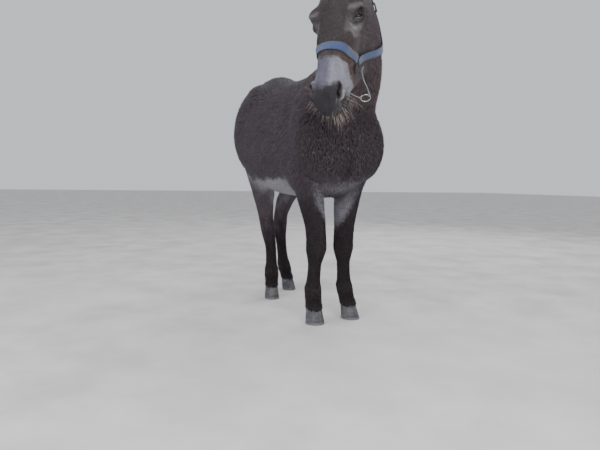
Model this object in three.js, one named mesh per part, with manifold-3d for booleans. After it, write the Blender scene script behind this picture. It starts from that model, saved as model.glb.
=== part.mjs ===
// A standing donkey, life size, in a thick winter coat, wearing a webbing headcollar.
// Millimetres, +Z up, the nose towards -Y, the animal's left towards +X, the floor at Z = 0.
// The flesh is one smooth field, negative inside: lofts of sections for the trunk, neck, legs and head,
// with ellipsoids for the muscles, all blended. Each node is a region of that field, meshed and then
// parted from its neighbours by thin cuts. The surface is the outer tips of the coat.
import * as THREE from "three";
import { mergeVertices } from "three/addons/utils/BufferGeometryUtils.js";
import Module from "manifold-3d";

const wasm = await Module();
wasm.setup();

// ---------------------------------------------------------------- driving dimensions
const GAP = 0.4; // width of the cut between two neighbouring nodes
const POLL = [-164, -705, 1347]; // top of the head, between the ears
const HEAD_TURN = 55.4; // degrees, to the animal's right
const HEAD_DROP = 71.5; // degrees below the horizontal, along the nose
const HEAD_TILT = 3.7; // degrees of roll about the nose line
const EYE = { at: [184, 75, -36], radius: 20 }; // left eyeball, in the head's frame
const EYE_BOWL = { at: [187, 101, -22], r: [26, 17, 17] }; // hollow between the lids
const EAR = { length: 255, base: [22, 56, -58], wall: 5.5 };
const HOOF = { front: { width: 86, length: 96 }, hind: { width: 79, length: 90 }, heel: 0.86, crown: 0.84 };
const CORONET = 72; // height at which the hair ends and the horn begins
const STRAP = { width: 25, thickness: 3, clear: 2 }; // webbing of the headcollar
const CORD_RADIUS = 2.2;

// Trunk sections along Y:
// [y, top z, bottom z, half width, z of the widest point, x of the middle, roundness of the back]
const TRUNK = [
  [-512, 820, 735, 30, 780, 14, 1.8], [-495, 870, 690, 92, 780, 14, 1.8],
  [-460, 945, 640, 132, 778, 14, 1.7], [-400, 1020, 592, 160, 778, 14, 1.6],
  [-330, 1092, 561, 178, 780, 14, 1.5], [-260, 1124, 552, 188, 780, 12, 1.48],
  [-190, 1113, 552, 197, 778, 10, 1.55], [-110, 1106, 553, 208, 773, 7, 1.7],
  [-30, 1104, 554, 218, 768, 4, 1.85], [70, 1112, 560, 226, 770, 0, 1.9],
  [160, 1143, 580, 225, 790, 0, 1.95], [255, 1172, 622, 215, 830, 0, 1.95],
  [345, 1152, 680, 206, 860, 0, 1.95], [430, 1098, 740, 182, 880, 0, 2],
  [490, 1035, 790, 136, 885, 0, 2], [525, 960, 845, 58, 895, 0, 2],
];
// Muscles and bony points of the left side: [x, y, z], [radii], tilt about X in degrees.
// The right side mirrors them, and its thigh follows the leg that is placed forwards.
const MUSCLES = [
  { at: [112, -358, 840], r: [64, 86, 178], tilt: 24 }, // shoulder blade
  { at: [118, -425, 775], r: [68, 75, 120], tilt: 0 }, // point of the shoulder
  { at: [132, -280, 700], r: [58, 88, 105], tilt: 0 }, // triceps and elbow
  { at: [60, -456, 712], r: [66, 60, 88], tilt: 0 }, // breast
  { at: [138, 205, 1042], r: [60, 78, 62], tilt: 0 }, // hip point
];
const THIGH = { at: [126, 360, 880], r: [92, 132, 205], tilt: -14 };
const STIFLE = { at: [142, 232, 700], r: [62, 80, 105], tilt: -20 };
const BUTTOCK = { at: [82, 452, 850], r: [72, 74, 175], tilt: 8 };
const HAMSTRING = { at: [96, 398, 690], r: [56, 62, 125], tilt: -12 };
const STEP_FORWARD = 172; // how far the right hind foot stands ahead of the left one

// Leg thickness by height: [z, half width, forwards, backwards]
const FORE_GIRTH = [
  [20, 38, 40, 38], [72, 37, 38, 37], [92, 33, 32, 35], [114, 30, 29, 33], [150, 35, 35, 42],
  [172, 32, 31, 36], [205, 30, 29, 33], [250, 30, 29, 33], [290, 38, 35, 38], [332, 46, 43, 45],
  [368, 45, 43, 44], [410, 45, 46, 46], [480, 50, 57, 56], [560, 57, 70, 66], [640, 60, 80, 76],
  [720, 55, 80, 80],
];
const HIND_GIRTH = [
  [20, 35, 37, 35], [72, 34, 35, 34], [92, 31, 31, 33], [115, 30, 29, 32], [150, 34, 33, 39],
  [185, 30, 29, 34], [240, 29, 29, 34], [300, 32, 32, 39], [345, 36, 38, 44], [385, 38, 41, 51],
  [412, 37, 39, 57], [450, 40, 42, 57], [500, 46, 51, 69], [560, 55, 61, 85], [640, 66, 75, 104],
  [720, 76, 86, 120],
];
// Leg axes, joint by joint: [z, x, y]
const LEGS = {
  foreleg_left: { girth: FORE_GIRTH, axis: [[20, 134, -300], [72, 126, -290], [110, 121, -277],
    [150, 117, -268], [250, 103, -280], [340, 94, -293], [420, 98, -290], [540, 112, -282],
    [720, 128, -285]] },
  foreleg_right: { girth: FORE_GIRTH, axis: [[20, -57, -322], [72, -57, -312], [110, -53, -297],
    [150, -51, -288], [250, -51, -298], [340, -50, -312], [420, -54, -308], [540, -72, -292],
    [720, -108, -285]] },
  hindleg_left: { girth: HIND_GIRTH, axis: [[20, 106, 372], [72, 98, 383], [110, 92, 397],
    [150, 87, 410], [250, 78, 426], [345, 74, 438], [412, 74, 432], [500, 78, 385], [600, 108, 318],
    [720, 132, 278]] },
  hindleg_right: { girth: HIND_GIRTH, axis: [[20, -66, 195], [72, -63, 206], [110, -58, 219],
    [150, -54, 233], [250, -52, 252], [345, -62, 267], [412, -74, 262], [500, -98, 228],
    [600, -122, 194], [720, -138, 200]] },
};

// Neck: a curve from inside the chest to the back of the skull, and its sections:
// [share of the way, half width, half depth]
const NECK_CURVE = [[12, -270, 925], [52, -560, 1030], [-104, -664, 1245]];
const NECK_CREST = [[0, 0.35, 0.94], [-0.5, -0.22, 0.84]]; // towards the crest, at base and poll
const NECK = [[0, 114, 174], [0.25, 114, 156], [0.5, 88, 144], [0.75, 67, 130], [1, 54, 112]];
const MANE = { from: 0.2, to: 0.97, height: 50, halfWidth: 13 };

// Head sections along the nose line u, in the head's frame: [u, centre w, half width, up, down]
const SKULL = [
  [-30, -78, 34, 34, 44], [5, -74, 54, 64, 70], [60, -75, 68, 80, 86], [120, -75, 73, 86, 92],
  [180, -74, 75, 80, 92], [240, -72, 65, 71, 88], [300, -68, 58, 63, 76], [360, -63, 48, 56, 62],
  [405, -62, 47, 52, 53], [455, -67, 44, 43, 46], [484, -76, 31, 28, 32], [496, -80, 14, 12, 14],
];
const JAW = [
  [70, -150, 34, 50, 40], [110, -165, 42, 55, 55], [150, -178, 46, 60, 62], [195, -184, 49, 62, 67],
  [245, -182, 48, 62, 66], [300, -168, 43, 56, 58], [345, -142, 39, 48, 52], [385, -124, 38, 42, 38],
  [420, -116, 38, 36, 31], [455, -108, 34, 30, 24], [478, -102, 24, 20, 16],
];
// Fleshy and bony features of the head's left side: centre (u, v, w) and radii
const FEATURES = [
  { at: [165, 45, -146], r: [82, 27, 76] }, // cheek muscle
  { at: [118, 50, -34], r: [54, 35, 32] }, // outer forehead
  { at: [160, 74, -21], r: [34, 36, 27] }, // brow over the eye
  { at: [188, 64, -54], r: [34, 26, 26] }, // rim under the eye
  { at: [262, 52, -84], r: [70, 15, 18] }, // facial crest
  { at: [236, 40, -36], r: [56, 24, 24] }, // edge of the nose bone
  { at: [440, 36, -46], r: [34, 25, 30] }, // side of the nostril
  { at: [466, 13, -84], r: [28, 29, 34] }, // upper lip
  { at: [438, 14, -122], r: [40, 27, 24] }, // chin and lower lip
  { at: [20, 48, -62], r: [44, 30, 40] }, // base of the ear
];
const NOSTRIL = { at: [442, 50, -38], r: [20, 10, 11] }; // pit cut into the muzzle

// Tail: curve down from the dock, and its sections [share, radius]
const TAIL_CURVE = [[0, 440, 1032], [0, 575, 1050], [0, 590, 790], [0, 556, 440]];
const TAIL = [[0, 36], [0.15, 31], [0.35, 23], [0.52, 20], [0.66, 29], [0.82, 33], [0.94, 22], [1, 8]];

const TAIL_CLEAR = 1.2; // air between the tail and the rump

// Ear sections from base to tip: [share, radius, half angle of the shell in degrees]
const EAR_SHELL = [
  [0, 27, 150], [0.15, 31, 132], [0.35, 37, 108], [0.55, 38, 92], [0.75, 32, 78], [0.9, 20, 66], [1, 4, 50],
];

// Mesh cell sizes along X, Y and Z: coarse on broad forms, fine on the face
const TRUNK_CELL = [60, 70, 60];
const NECK_CELL = [44, 44, 44];
const HEAD_CELL = [26, 26, 26];
const LEG_CELL = [26, 26, 44];
const TAIL_CELL = [34, 34, 34];

// ---------------------------------------------------------------- small vector helpers
const add = (a, b, s = 1) => [a[0] + b[0] * s, a[1] + b[1] * s, a[2] + b[2] * s];
const sub = (a, b) => add(a, b, -1);
const dot = (a, b) => a[0] * b[0] + a[1] * b[1] + a[2] * b[2];
const cross = (a, b) => [a[1] * b[2] - a[2] * b[1], a[2] * b[0] - a[0] * b[2], a[0] * b[1] - a[1] * b[0]];
const unit = (a) => {
  const length = Math.hypot(...a);
  return a.map((x) => x / length);
};
const mirror = (a) => [-a[0], a[1], a[2]];
const radians = THREE.MathUtils.degToRad;

// The head's frame: u runs down the nose, v to the animal's left, w out of the forehead.
const head = (() => {
  const [turn, drop, tilt] = [HEAD_TURN, HEAD_DROP, HEAD_TILT].map(radians);
  const u = [-Math.sin(turn) * Math.cos(drop), -Math.cos(turn) * Math.cos(drop), -Math.sin(drop)];
  const level = [Math.cos(turn), -Math.sin(turn), 0];
  const out = cross(u, level);
  const v = add(level.map((x) => x * Math.cos(tilt)), out, Math.sin(tilt));
  const w = add(level.map((x) => -x * Math.sin(tilt)), out, Math.cos(tilt));
  return { u, v, w };
})();
const fromHead = (u, v, w) => add(add(add(POLL, head.u, u), head.v, v), head.w, w);
const toHead = (p) => {
  const d = sub(p, POLL);
  return [dot(d, head.u), dot(d, head.v), dot(d, head.w)];
};

// ---------------------------------------------------------------- sections between stations
// A table's columns as smooth monotone curves of its first column, looked up in fine steps.
function smoothTable(rows, steps = 400) {
  const t = rows.map((r) => r[0]);
  const first = t[0];
  const span = t[t.length - 1] - first;
  const columns = rows[0].slice(1).map((_, c) => {
    const y = rows.map((r) => r[c + 1]);
    const slope = y.slice(1).map((v, i) => (v - y[i]) / (t[i + 1] - t[i]));
    const tangent = y.map((_, i) => {
      if (i === 0) return slope[0];
      if (i === y.length - 1) return slope[i - 1];
      const [a, b] = [slope[i - 1], slope[i]];
      return a * b > 0 ? (2 * a * b) / (a + b) : 0;
    });
    return Float64Array.from({ length: steps + 1 }, (_, k) => {
      const at = first + (span * k) / steps;
      let i = 0;
      while (i < t.length - 2 && at > t[i + 1]) i++;
      const h = t[i + 1] - t[i];
      const s = (at - t[i]) / h;
      return y[i] * (1 + 2 * s) * (1 - s) ** 2 + tangent[i] * h * s * (1 - s) ** 2
        + y[i + 1] * s * s * (3 - 2 * s) + tangent[i + 1] * h * s * s * (s - 1);
    });
  });
  return (at) => {
    const k = THREE.MathUtils.clamp(((at - first) / span) * steps, 0, steps - 1e-6);
    const i = Math.floor(k);
    const values = columns.map((c) => c[i] + (c[i + 1] - c[i]) * (k - i));
    const slopes = columns.map((c) => ((c[i + 1] - c[i]) * steps) / span);
    return { values, slopes, past: Math.max(first - at, at - first - span, 0) };
  };
}

// Distance from a superellipse section with half sizes ra (sideways) and rb: first order, exact at zero.
// slopeA and slopeB say how fast the sizes grow along the loft, and past how far the point lies off its end.
function sectionDistance(a, b, ra, rb, power, slopeA, slopeB, past) {
  const x = Math.abs(a) / ra;
  const y = Math.abs(b) / rb;
  const r = (x ** power + y ** power) ** (1 / power);
  if (r < 0.05) return -0.9 * Math.min(ra, rb);
  const gx = (x / r) ** (power - 1) / ra;
  const gy = (y / r) ** (power - 1) / rb;
  const lean = ((slopeA * x) ** 2 + (slopeB * y) ** 2) / (r * r);
  const d = (r - 1) / Math.hypot(gx, gy) / Math.sqrt(1 + lean);
  return past > 0 ? Math.hypot(Math.max(d, 0), past) : d;
}

function ellipsoid(p, at, r) {
  const q = sub(p, at);
  const k0 = Math.hypot(q[0] / r[0], q[1] / r[1], q[2] / r[2]);
  const k1 = Math.hypot(q[0] / r[0] ** 2, q[1] / r[1] ** 2, q[2] / r[2] ** 2);
  return k1 < 1e-9 ? -Math.min(...r) : (k0 * (k0 - 1)) / k1;
}

// An ellipsoid leaning about the X axis by tilt degrees.
function leaning(p, { at, r, tilt }) {
  const [, y, z] = sub(p, at);
  const [c, s] = [Math.cos(radians(tilt)), Math.sin(radians(tilt))];
  return ellipsoid([p[0] - at[0], c * y - s * z, s * y + c * z], [0, 0, 0], r);
}

// The lower of two distances, rounded where they meet over a width k.
function blend(a, b, k) {
  const h = Math.max(k - Math.abs(a - b), 0) / k;
  return Math.min(a, b) - (h * h * k) / 4;
}

// ---------------------------------------------------------------- the field
const trunkAt = smoothTable(TRUNK);
function trunkField(p) {
  const { values: [top, bottom, half, wide, middle, back], slopes, past } = trunkAt(p[1]);
  const b = p[2] - wide;
  const upper = b > 0;
  const rb = upper ? top - wide : wide - bottom;
  const slope = upper ? slopes[0] - slopes[3] : slopes[3] - slopes[1];
  return sectionDistance(p[0] - middle, b, half, rb, upper ? back : 2.25, slopes[2], slope, past);
}

const legTables = Object.fromEntries(Object.entries(LEGS).map(([name, leg]) =>
  [name, { girth: smoothTable(leg.girth), axis: smoothTable(leg.axis) }]));
function legField(p, name) {
  const { girth, axis } = legTables[name];
  const { values: [x, y] } = axis(p[2]);
  const { values: [half, front, back], slopes, past } = girth(p[2]);
  const b = p[1] - y;
  return sectionDistance(p[0] - x, b, half, b < 0 ? front : back, 2.1, slopes[0], b < 0 ? slopes[1] : slopes[2], past);
}

const bezier = (points, t) => {
  const s = 1 - t;
  const w = points.length === 3 ? [s * s, 2 * s * t, t * t] : [s ** 3, 3 * s * s * t, 3 * s * t * t, t ** 3];
  return [0, 1, 2].map((i) => points.reduce((sum, q, k) => sum + q[i] * w[k], 0));
};
const direction = (points, t) => {
  const e = 1e-3;
  return sub(bezier(points, t + e), bezier(points, t - e)).map((x) => x / (2 * e));
};
// The share of the way along a curve that lies nearest to p.
function nearest(points, p) {
  const [a, b] = [points[0], points[points.length - 1]];
  let t = THREE.MathUtils.clamp(dot(sub(p, a), sub(b, a)) / dot(sub(b, a), sub(b, a)), -0.2, 1.2);
  for (let i = 0; i < 6; i++) {
    const d = direction(points, t);
    t = THREE.MathUtils.clamp(t + (0.8 * dot(sub(p, bezier(points, t)), d)) / dot(d, d), -0.2, 1.2);
  }
  return t;
}

const neckAt = smoothTable(NECK);
// The neck's frame at a share t: its centre, the side towards the animal's left, and the crest's direction.
function neckFrame(t) {
  const s = THREE.MathUtils.clamp(t, 0, 1);
  const along = unit(direction(NECK_CURVE, s));
  const lean = add(NECK_CREST[0].map((x) => x * (1 - s)), NECK_CREST[1], s);
  const side = unit(cross(along, lean));
  return { centre: bezier(NECK_CURVE, s), side, crest: cross(side, along), along };
}
function neckField(p) {
  const t = nearest(NECK_CURVE, p);
  const { centre, side, crest, along } = neckFrame(t);
  const { values: [half, depth] } = neckAt(t);
  const d = sub(p, centre);
  const past = t < 0 || t > 1 ? Math.abs(dot(d, along)) : 0;
  const b = dot(d, crest);
  return sectionDistance(dot(d, side), b, half, depth, b > 0 ? 1.75 : 2.1, 0, 0, past);
}

const skullAt = smoothTable(SKULL);
const jawAt = smoothTable(JAW);
function headLoft(table, [u, v, w], power) {
  const { values: [centre, half, up, down], slopes, past } = table(u);
  const b = w - centre;
  return sectionDistance(v, b, half, b > 0 ? up : down, power, slopes[1], b > 0 ? slopes[2] : slopes[3], past);
}
function headField(p) {
  const q = toHead(p);
  if (Math.hypot(q[0] - 230, q[1], q[2] + 90) > 420) return 200;
  let d = blend(headLoft(skullAt, q, 2.4), headLoft(jawAt, q, 2.2), 34);
  const folded = [q[0], Math.abs(q[1]), q[2]];
  for (const { at, r } of FEATURES) d = blend(d, ellipsoid(folded, at, r), 20);
  return -blend(-d, ellipsoid(folded, EYE_BOWL.at, EYE_BOWL.r), 8);
}

const tailAt = smoothTable(TAIL);
// The hind muscles of one side, which move forwards with the leg they belong to.
function haunchField(p, forward) {
  const shifted = (part, share) => ({ ...part, at: add(part.at, [0, -forward * share, 0]) });
  const parts = [shifted(THIGH, 0.12), shifted(STIFLE, 0.55), BUTTOCK, shifted(HAMSTRING, 0.45)];
  return parts.map((part) => leaning(p, part)).reduce((a, b) => blend(a, b, 60));
}

function fleshField(p) {
  const folded = [Math.abs(p[0]), p[1], p[2]];
  const left = p[0] > 0;
  let d = trunkField(p);
  for (const part of MUSCLES) d = blend(d, leaning(folded, part), 55);
  d = blend(d, haunchField(folded, left ? 0 : STEP_FORWARD), 60);
  d = blend(d, neckField(p), 75);
  d = blend(d, left ? legField(p, "foreleg_left") : legField(p, "foreleg_right"), 34);
  d = blend(d, left ? legField(p, "hindleg_left") : legField(p, "hindleg_right"), 34);
  return blend(d, headField(p), 46);
}

// ---------------------------------------------------------------- meshing
function gradient(field, p, e = 0.5) {
  return [0, 1, 2].map((i) => {
    const step = [0, 0, 0];
    step[i] = e;
    return (field(add(p, step)) - field(sub(p, step))) / (2 * e);
  });
}
// Moves a point onto the field's zero surface, by at most reach in each step.
function settle(field, p, reach, rounds = 3) {
  let q = p;
  for (let i = 0; i < rounds; i++) {
    const g = gradient(field, q);
    const step = THREE.MathUtils.clamp(field(q) / Math.max(dot(g, g), 0.05), -reach, reach);
    q = add(q, g, -step);
  }
  return q;
}

// A cube cell: its corners, its edges as [corner, corner, axis], and the edges round each face.
const CORNERS = [0, 1, 2, 3, 4, 5, 6, 7].map((c) => [c & 1, (c >> 1) & 1, c >> 2]);
const EDGES = [0, 1, 2].flatMap((axis) => CORNERS.flatMap((c, i) => (c[axis] ? [] : [[i, i + (1 << axis), axis]])));
const FACES = [0, 1, 2].flatMap((axis) => [0, 1].map((wall) =>
  EDGES.flatMap(([a, b], e) => (CORNERS[a][axis] === wall && CORNERS[b][axis] === wall ? [e] : []))));

// Joins a cell's crossed edges into the separate sheets of surface that pass through it.
function sheets(inside) {
  const crossed = EDGES.map(([a, b]) => inside[a] !== inside[b]);
  const group = EDGES.map((_, e) => e);
  const find = (e) => (group[e] === e ? e : find(group[e]));
  for (const face of FACES) {
    const here = face.filter((e) => crossed[e]);
    const joined = (e, f) => here.length === 2
      || [EDGES[e][0], EDGES[e][1]].some((c) => inside[c] && EDGES[f].slice(0, 2).includes(c));
    for (const e of here) for (const f of here) if (e < f && joined(e, f)) group[find(e)] = find(f);
  }
  const found = new Map();
  crossed.forEach((yes, e) => {
    if (yes) found.set(find(e), [...(found.get(find(e)) ?? []), e]);
  });
  return [...found.values()];
}

// Surface nets: one vertex for each sheet of surface in a cell, settled on the surface, and one
// four-sided face for each grid edge that it crosses. The box's own walls count as outside.
function netMesh(field, low, high, cell) {
  const n = low.map((l, i) => Math.ceil((high[i] - l) / cell[i]) + 1);
  const finest = Math.min(...cell);
  const index = (i, j, k) => (k * n[1] + j) * n[0] + i;
  const value = new Float32Array(n[0] * n[1] * n[2]);
  const wall = (i, j, k) => !i || !j || !k || i === n[0] - 1 || j === n[1] - 1 || k === n[2] - 1;
  for (let k = 0; k < n[2]; k++) for (let j = 0; j < n[1]; j++) for (let i = 0; i < n[0]; i++) {
    const at = add(low, [i * cell[0], j * cell[1], k * cell[2]]);
    value[index(i, j, k)] = wall(i, j, k) ? finest : field(at);
  }
  const vertexOf = new Map();
  const points = [];
  const edgeKey = (i, j, k, axis) => index(i, j, k) * 3 + axis;
  for (let k = 0; k < n[2] - 1; k++) for (let j = 0; j < n[1] - 1; j++) for (let i = 0; i < n[0] - 1; i++) {
    const corner = CORNERS.map((c) => value[index(i + c[0], j + c[1], k + c[2])]);
    const inside = corner.map((v) => v < 0);
    if (inside.every((x) => x === inside[0])) continue;
    const atWall = i === 0 || j === 0 || k === 0 || i === n[0] - 2 || j === n[1] - 2 || k === n[2] - 2;
    for (const sheet of sheets(inside)) {
      const hits = sheet.map((e) => {
        const [a, b] = EDGES[e];
        return add(CORNERS[a], sub(CORNERS[b], CORNERS[a]), corner[a] / (corner[a] - corner[b]));
      });
      const mean = hits.reduce((s, q) => add(s, q), [0, 0, 0]).map((x) => x / hits.length);
      const start = add(low, add([i, j, k], mean).map((x, c) => x * cell[c]));
      const p = atWall ? start : settle(field, start, finest * 0.3);
      for (const e of sheet) {
        const [a, , axis] = EDGES[e];
        const c = CORNERS[a];
        vertexOf.set(`${index(i, j, k)}:${edgeKey(i + c[0], j + c[1], k + c[2], axis)}`, points.length);
      }
      points.push(p);
    }
  }
  const triangles = [];
  const quad = (cells, edge, flip) => {
    const v = cells.map((c) => vertexOf.get(`${index(...c)}:${edge}`));
    const length = (a, b) => Math.hypot(...sub(points[v[a]], points[v[b]]));
    const order = length(0, 2) < length(1, 3) ? [0, 1, 2, 0, 2, 3] : [0, 1, 3, 1, 2, 3];
    if (flip) order.reverse();
    triangles.push(...order.map((o) => v[o]));
  };
  for (let k = 0; k < n[2] - 1; k++) for (let j = 0; j < n[1] - 1; j++) for (let i = 0; i < n[0] - 1; i++) {
    const here = value[index(i, j, k)] < 0;
    const key = (axis) => edgeKey(i, j, k, axis);
    if (j && k && here !== value[index(i + 1, j, k)] < 0)
      quad([[i, j - 1, k - 1], [i, j, k - 1], [i, j, k], [i, j - 1, k]], key(0), !here);
    if (i && k && here !== value[index(i, j + 1, k)] < 0)
      quad([[i - 1, j, k - 1], [i - 1, j, k], [i, j, k], [i, j, k - 1]], key(1), !here);
    if (i && j && here !== value[index(i, j, k + 1)] < 0)
      quad([[i - 1, j - 1, k], [i, j - 1, k], [i, j, k], [i - 1, j, k]], key(2), !here);
  }
  return solid(points.flat(), triangles);
}

const solid = (coordinates, triangles) => new wasm.Manifold(new wasm.Mesh({
  numProp: 3, vertProperties: new Float32Array(coordinates), triVerts: new Uint32Array(triangles),
}));

// Closed skin over rings of equally many points, each ring running the same way round.
function ringSolid(rings) {
  const count = rings[0].length;
  const points = rings.flat();
  const mean = (ring) => ring.reduce((s, q) => add(s, q), [0, 0, 0]).map((x) => x / ring.length);
  const [start, end] = [points.length, points.length + 1];
  points.push(mean(rings[0]), mean(rings[rings.length - 1]));
  const triangles = [];
  rings.slice(1).forEach((_, r) => {
    for (let i = 0; i < count; i++) {
      const [a, b] = [r * count + i, r * count + ((i + 1) % count)];
      triangles.push(a, b, b + count, a, b + count, a + count);
    }
  });
  const last = (rings.length - 1) * count;
  for (let i = 0; i < count; i++) {
    const j = (i + 1) % count;
    triangles.push(start, j, i, end, last + i, last + j);
  }
  const made = solid(points.flat(), triangles);
  if (made.volume() > 0) return made;
  const turned = triangles.map((_, i) => triangles[i - (i % 3) + 2 - (i % 3)]);
  return solid(points.flat(), turned);
}

function fromGeometry(geometry) {
  const bare = geometry.clone();
  bare.deleteAttribute("normal");
  bare.deleteAttribute("uv");
  const merged = mergeVertices(bare, 1e-3);
  return solid(merged.attributes.position.array, merged.index.array);
}

// ---------------------------------------------------------------- cuts
// A half space kept by a cut: the side that its normal points to, less half the gap.
const side = (normal, point) => ({ normal: unit(normal), offset: dot(unit(normal), point) });
const other = ({ normal, offset }) => ({ normal: normal.map((x) => -x), offset: -offset });
const cut = (body, planes) => planes.reduce((m, c) => m.trimByPlane(c.normal, c.offset + GAP / 2), body);
const block = (planes, grow) => planes.reduce(
  (m, c) => m.trimByPlane(c.normal, c.offset - grow),
  fromGeometry(new THREE.BoxGeometry(4000, 4000, 4000)));

const NECK_BASE = side([0.1, -0.85, 0.53], [0, -405, 980]);
const HEAD_REGION = [
  side(add(head.w.map((x) => x * 0.73), head.u, 0.69), fromHead(-22, 0, -92)),
  side(head.w, fromHead(0, 0, -262)),
  side(add(add(head.u.map((x) => x * 0.6), head.v, 0.58), head.w, 0.55), fromHead(-22, 0, -92)),
];
const MUZZLE_LINE = side(head.u, fromHead(338, 0, 0));
const MOUTH_LINE = side(add(head.w, head.u, 0.1), fromHead(400, 0, -104));
const SHOULDER_LINE = side([0, 1, 0], [0, -150, 0]);
const LOIN_LINE = side([0, 1, 0], [0, 130, 0]);
const SIDES = { left: 1, right: -1 };
// The regions that part each leg from the trunk
const legRegion = (name) => {
  const s = name.endsWith("left") ? 1 : -1;
  const middle = side([s, 0, 0], [s * 8, 0, 0]);
  if (name.startsWith("fore"))
    return [middle, side([s * 0.62, 0, -0.78], [s * 40, 0, 566]), side([0, -1, 0], [0, -192, 0])];
  const fold = s > 0 ? [0, 168, 575] : [0, 72, 560];
  return [middle, side([0, 0.67, -0.74], fold)];
};

// ---------------------------------------------------------------- nodes
const COLOURS = {
  coat: 0x3a302c, pale: 0xb5aea6, muzzle: 0xa9a6a6, dark: 0x262020, horn: 0x5b5a5e, eye: 0x120d0a,
  webbing: 0x6f93c4, edging: 0x1c2233, cord: 0xb8ccd2, metal: 0x9a9a98,
};
const ROUGHNESS = { eye: 0.08, horn: 0.6, metal: 0.35 };
const donkey = new THREE.Group();

const made = {};
// What is left of a body outside other nodes, each moved by a small step to leave a gap.
const clearOf = (body, names, step) => names.reduce(
  (m, name) => m.subtract(made[name]).subtract(made[name].translate(step)), body);

function addNode(name, body, colour) {
  made[name] = body;
  const { numProp, vertProperties, triVerts } = body.getMesh();
  const geometry = new THREE.BufferGeometry();
  const positions = new Float32Array((vertProperties.length / numProp) * 3);
  for (let i = 0; i < positions.length; i++)
    positions[i] = vertProperties[Math.floor(i / 3) * numProp + (i % 3)];
  geometry.setAttribute("position", new THREE.BufferAttribute(positions, 3));
  geometry.setIndex(new THREE.BufferAttribute(triVerts, 1));
  geometry.computeVertexNormals();
  const material = new THREE.MeshStandardMaterial({
    color: COLOURS[colour], roughness: ROUGHNESS[colour] ?? 0.85, metalness: colour === "metal" ? 0.9 : 0,
  });
  const mesh = new THREE.Mesh(geometry, material);
  mesh.name = name;
  donkey.add(mesh);
}
// The largest body of a cut piece, without crumbs left by the cut.
const main = (body) => body.decompose().sort((a, b) => b.volume() - a.volume())[0];
const fleshIn = (low, high, cell) => netMesh(fleshField, low, high, cell);

function addTrunk() {
  const whole = fleshIn([-262, -560, 500], [262, 560, 1215], TRUNK_CELL);
  const legs = Object.keys(LEGS).map((name) => block(legRegion(name), GAP / 2));
  const body = legs.reduce((m, leg) => m.subtract(leg), cut(whole, [other(NECK_BASE)]));
  addNode("forequarters", main(cut(body, [other(SHOULDER_LINE)])), "coat");
  addNode("barrel", main(cut(body, [SHOULDER_LINE, other(LOIN_LINE)])), "coat");
  const rump = cut(body, [LOIN_LINE]);
  addNode("hindquarters", main(rump.subtract(tailSolid(GAP))), "coat");
}

function addNeck() {
  const whole = fleshIn([-240, -800, 620], [240, -200, 1460], NECK_CELL);
  addNode("neck", main(cut(whole, [NECK_BASE]).subtract(block(HEAD_REGION, GAP / 2))), "coat");
}

// The crest's upright hair, a thin ridge that follows the top of the neck.
function addMane() {
  const rings = [];
  const steps = 12;
  for (let i = 0; i <= steps; i++) {
    const t = MANE.from + ((MANE.to - MANE.from) * i) / steps;
    const { centre, side: across, crest } = neckFrame(t);
    const foot = settle(fleshField, add(centre, crest, neckAt(t).values[1]), 60, 8);
    const rise = MANE.height * Math.min(1, 0.1 + 3 * (i / steps), 0.5 + 3 * (1 - i / steps));
    const outline = [[-1.5, -18], [-0.8, rise * 0.5], [-0.25, rise], [0.25, rise], [0.8, rise * 0.5], [1.5, -18]];
    rings.push(outline.map(([a, b]) => add(add(foot, across, a * MANE.halfWidth), crest, b)));
  }
  const ridge = clearOf(ringSolid(rings), ["neck", "forequarters"], [0, 0, GAP]);
  addNode("mane", main(ridge.subtract(block(HEAD_REGION, GAP / 2))), "dark");
}

function addHead() {
  let whole = fleshIn([-420, -960, 760], [140, -470, 1420], HEAD_CELL);
  for (const s of [1, -1]) {
    const socket = fromGeometry(new THREE.SphereGeometry(EYE.radius + 2 * GAP, 10, 7));
    const pit = fromGeometry(new THREE.SphereGeometry(1, 8, 6)).scale(NOSTRIL.r);
    whole = whole.subtract(socket.translate(fromHead(EYE.at[0], s * EYE.at[1], EYE.at[2])));
    whole = whole.subtract(inHead(pit, [NOSTRIL.at[0], s * NOSTRIL.at[1], NOSTRIL.at[2]]));
  }
  const skull = cut(whole, HEAD_REGION);
  addNode("head", main(cut(skull, [other(MUZZLE_LINE)])), "coat");
  addNode("muzzle", main(cut(skull, [MUZZLE_LINE, MOUTH_LINE])), "muzzle");
  addNode("chin", main(cut(skull, [MUZZLE_LINE, other(MOUTH_LINE)])), "dark");
}
// Places a solid made in the head's own frame, centred at (u, v, w).
function inHead(body, at) {
  const o = fromHead(...at);
  const [a, b, c] = [head.u, head.v, head.w];
  return body.transform([a[0], a[1], a[2], 0, b[0], b[1], b[2], 0, c[0], c[1], c[2], 0, o[0], o[1], o[2], 1]);
}

function addEyes() {
  for (const [name, s] of Object.entries(SIDES)) {
    const ball = fromGeometry(new THREE.SphereGeometry(EYE.radius, 10, 7));
    addNode(`eye_${name}`, ball.translate(fromHead(EYE.at[0], s * EYE.at[1], EYE.at[2])), "eye");
  }
}

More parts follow.
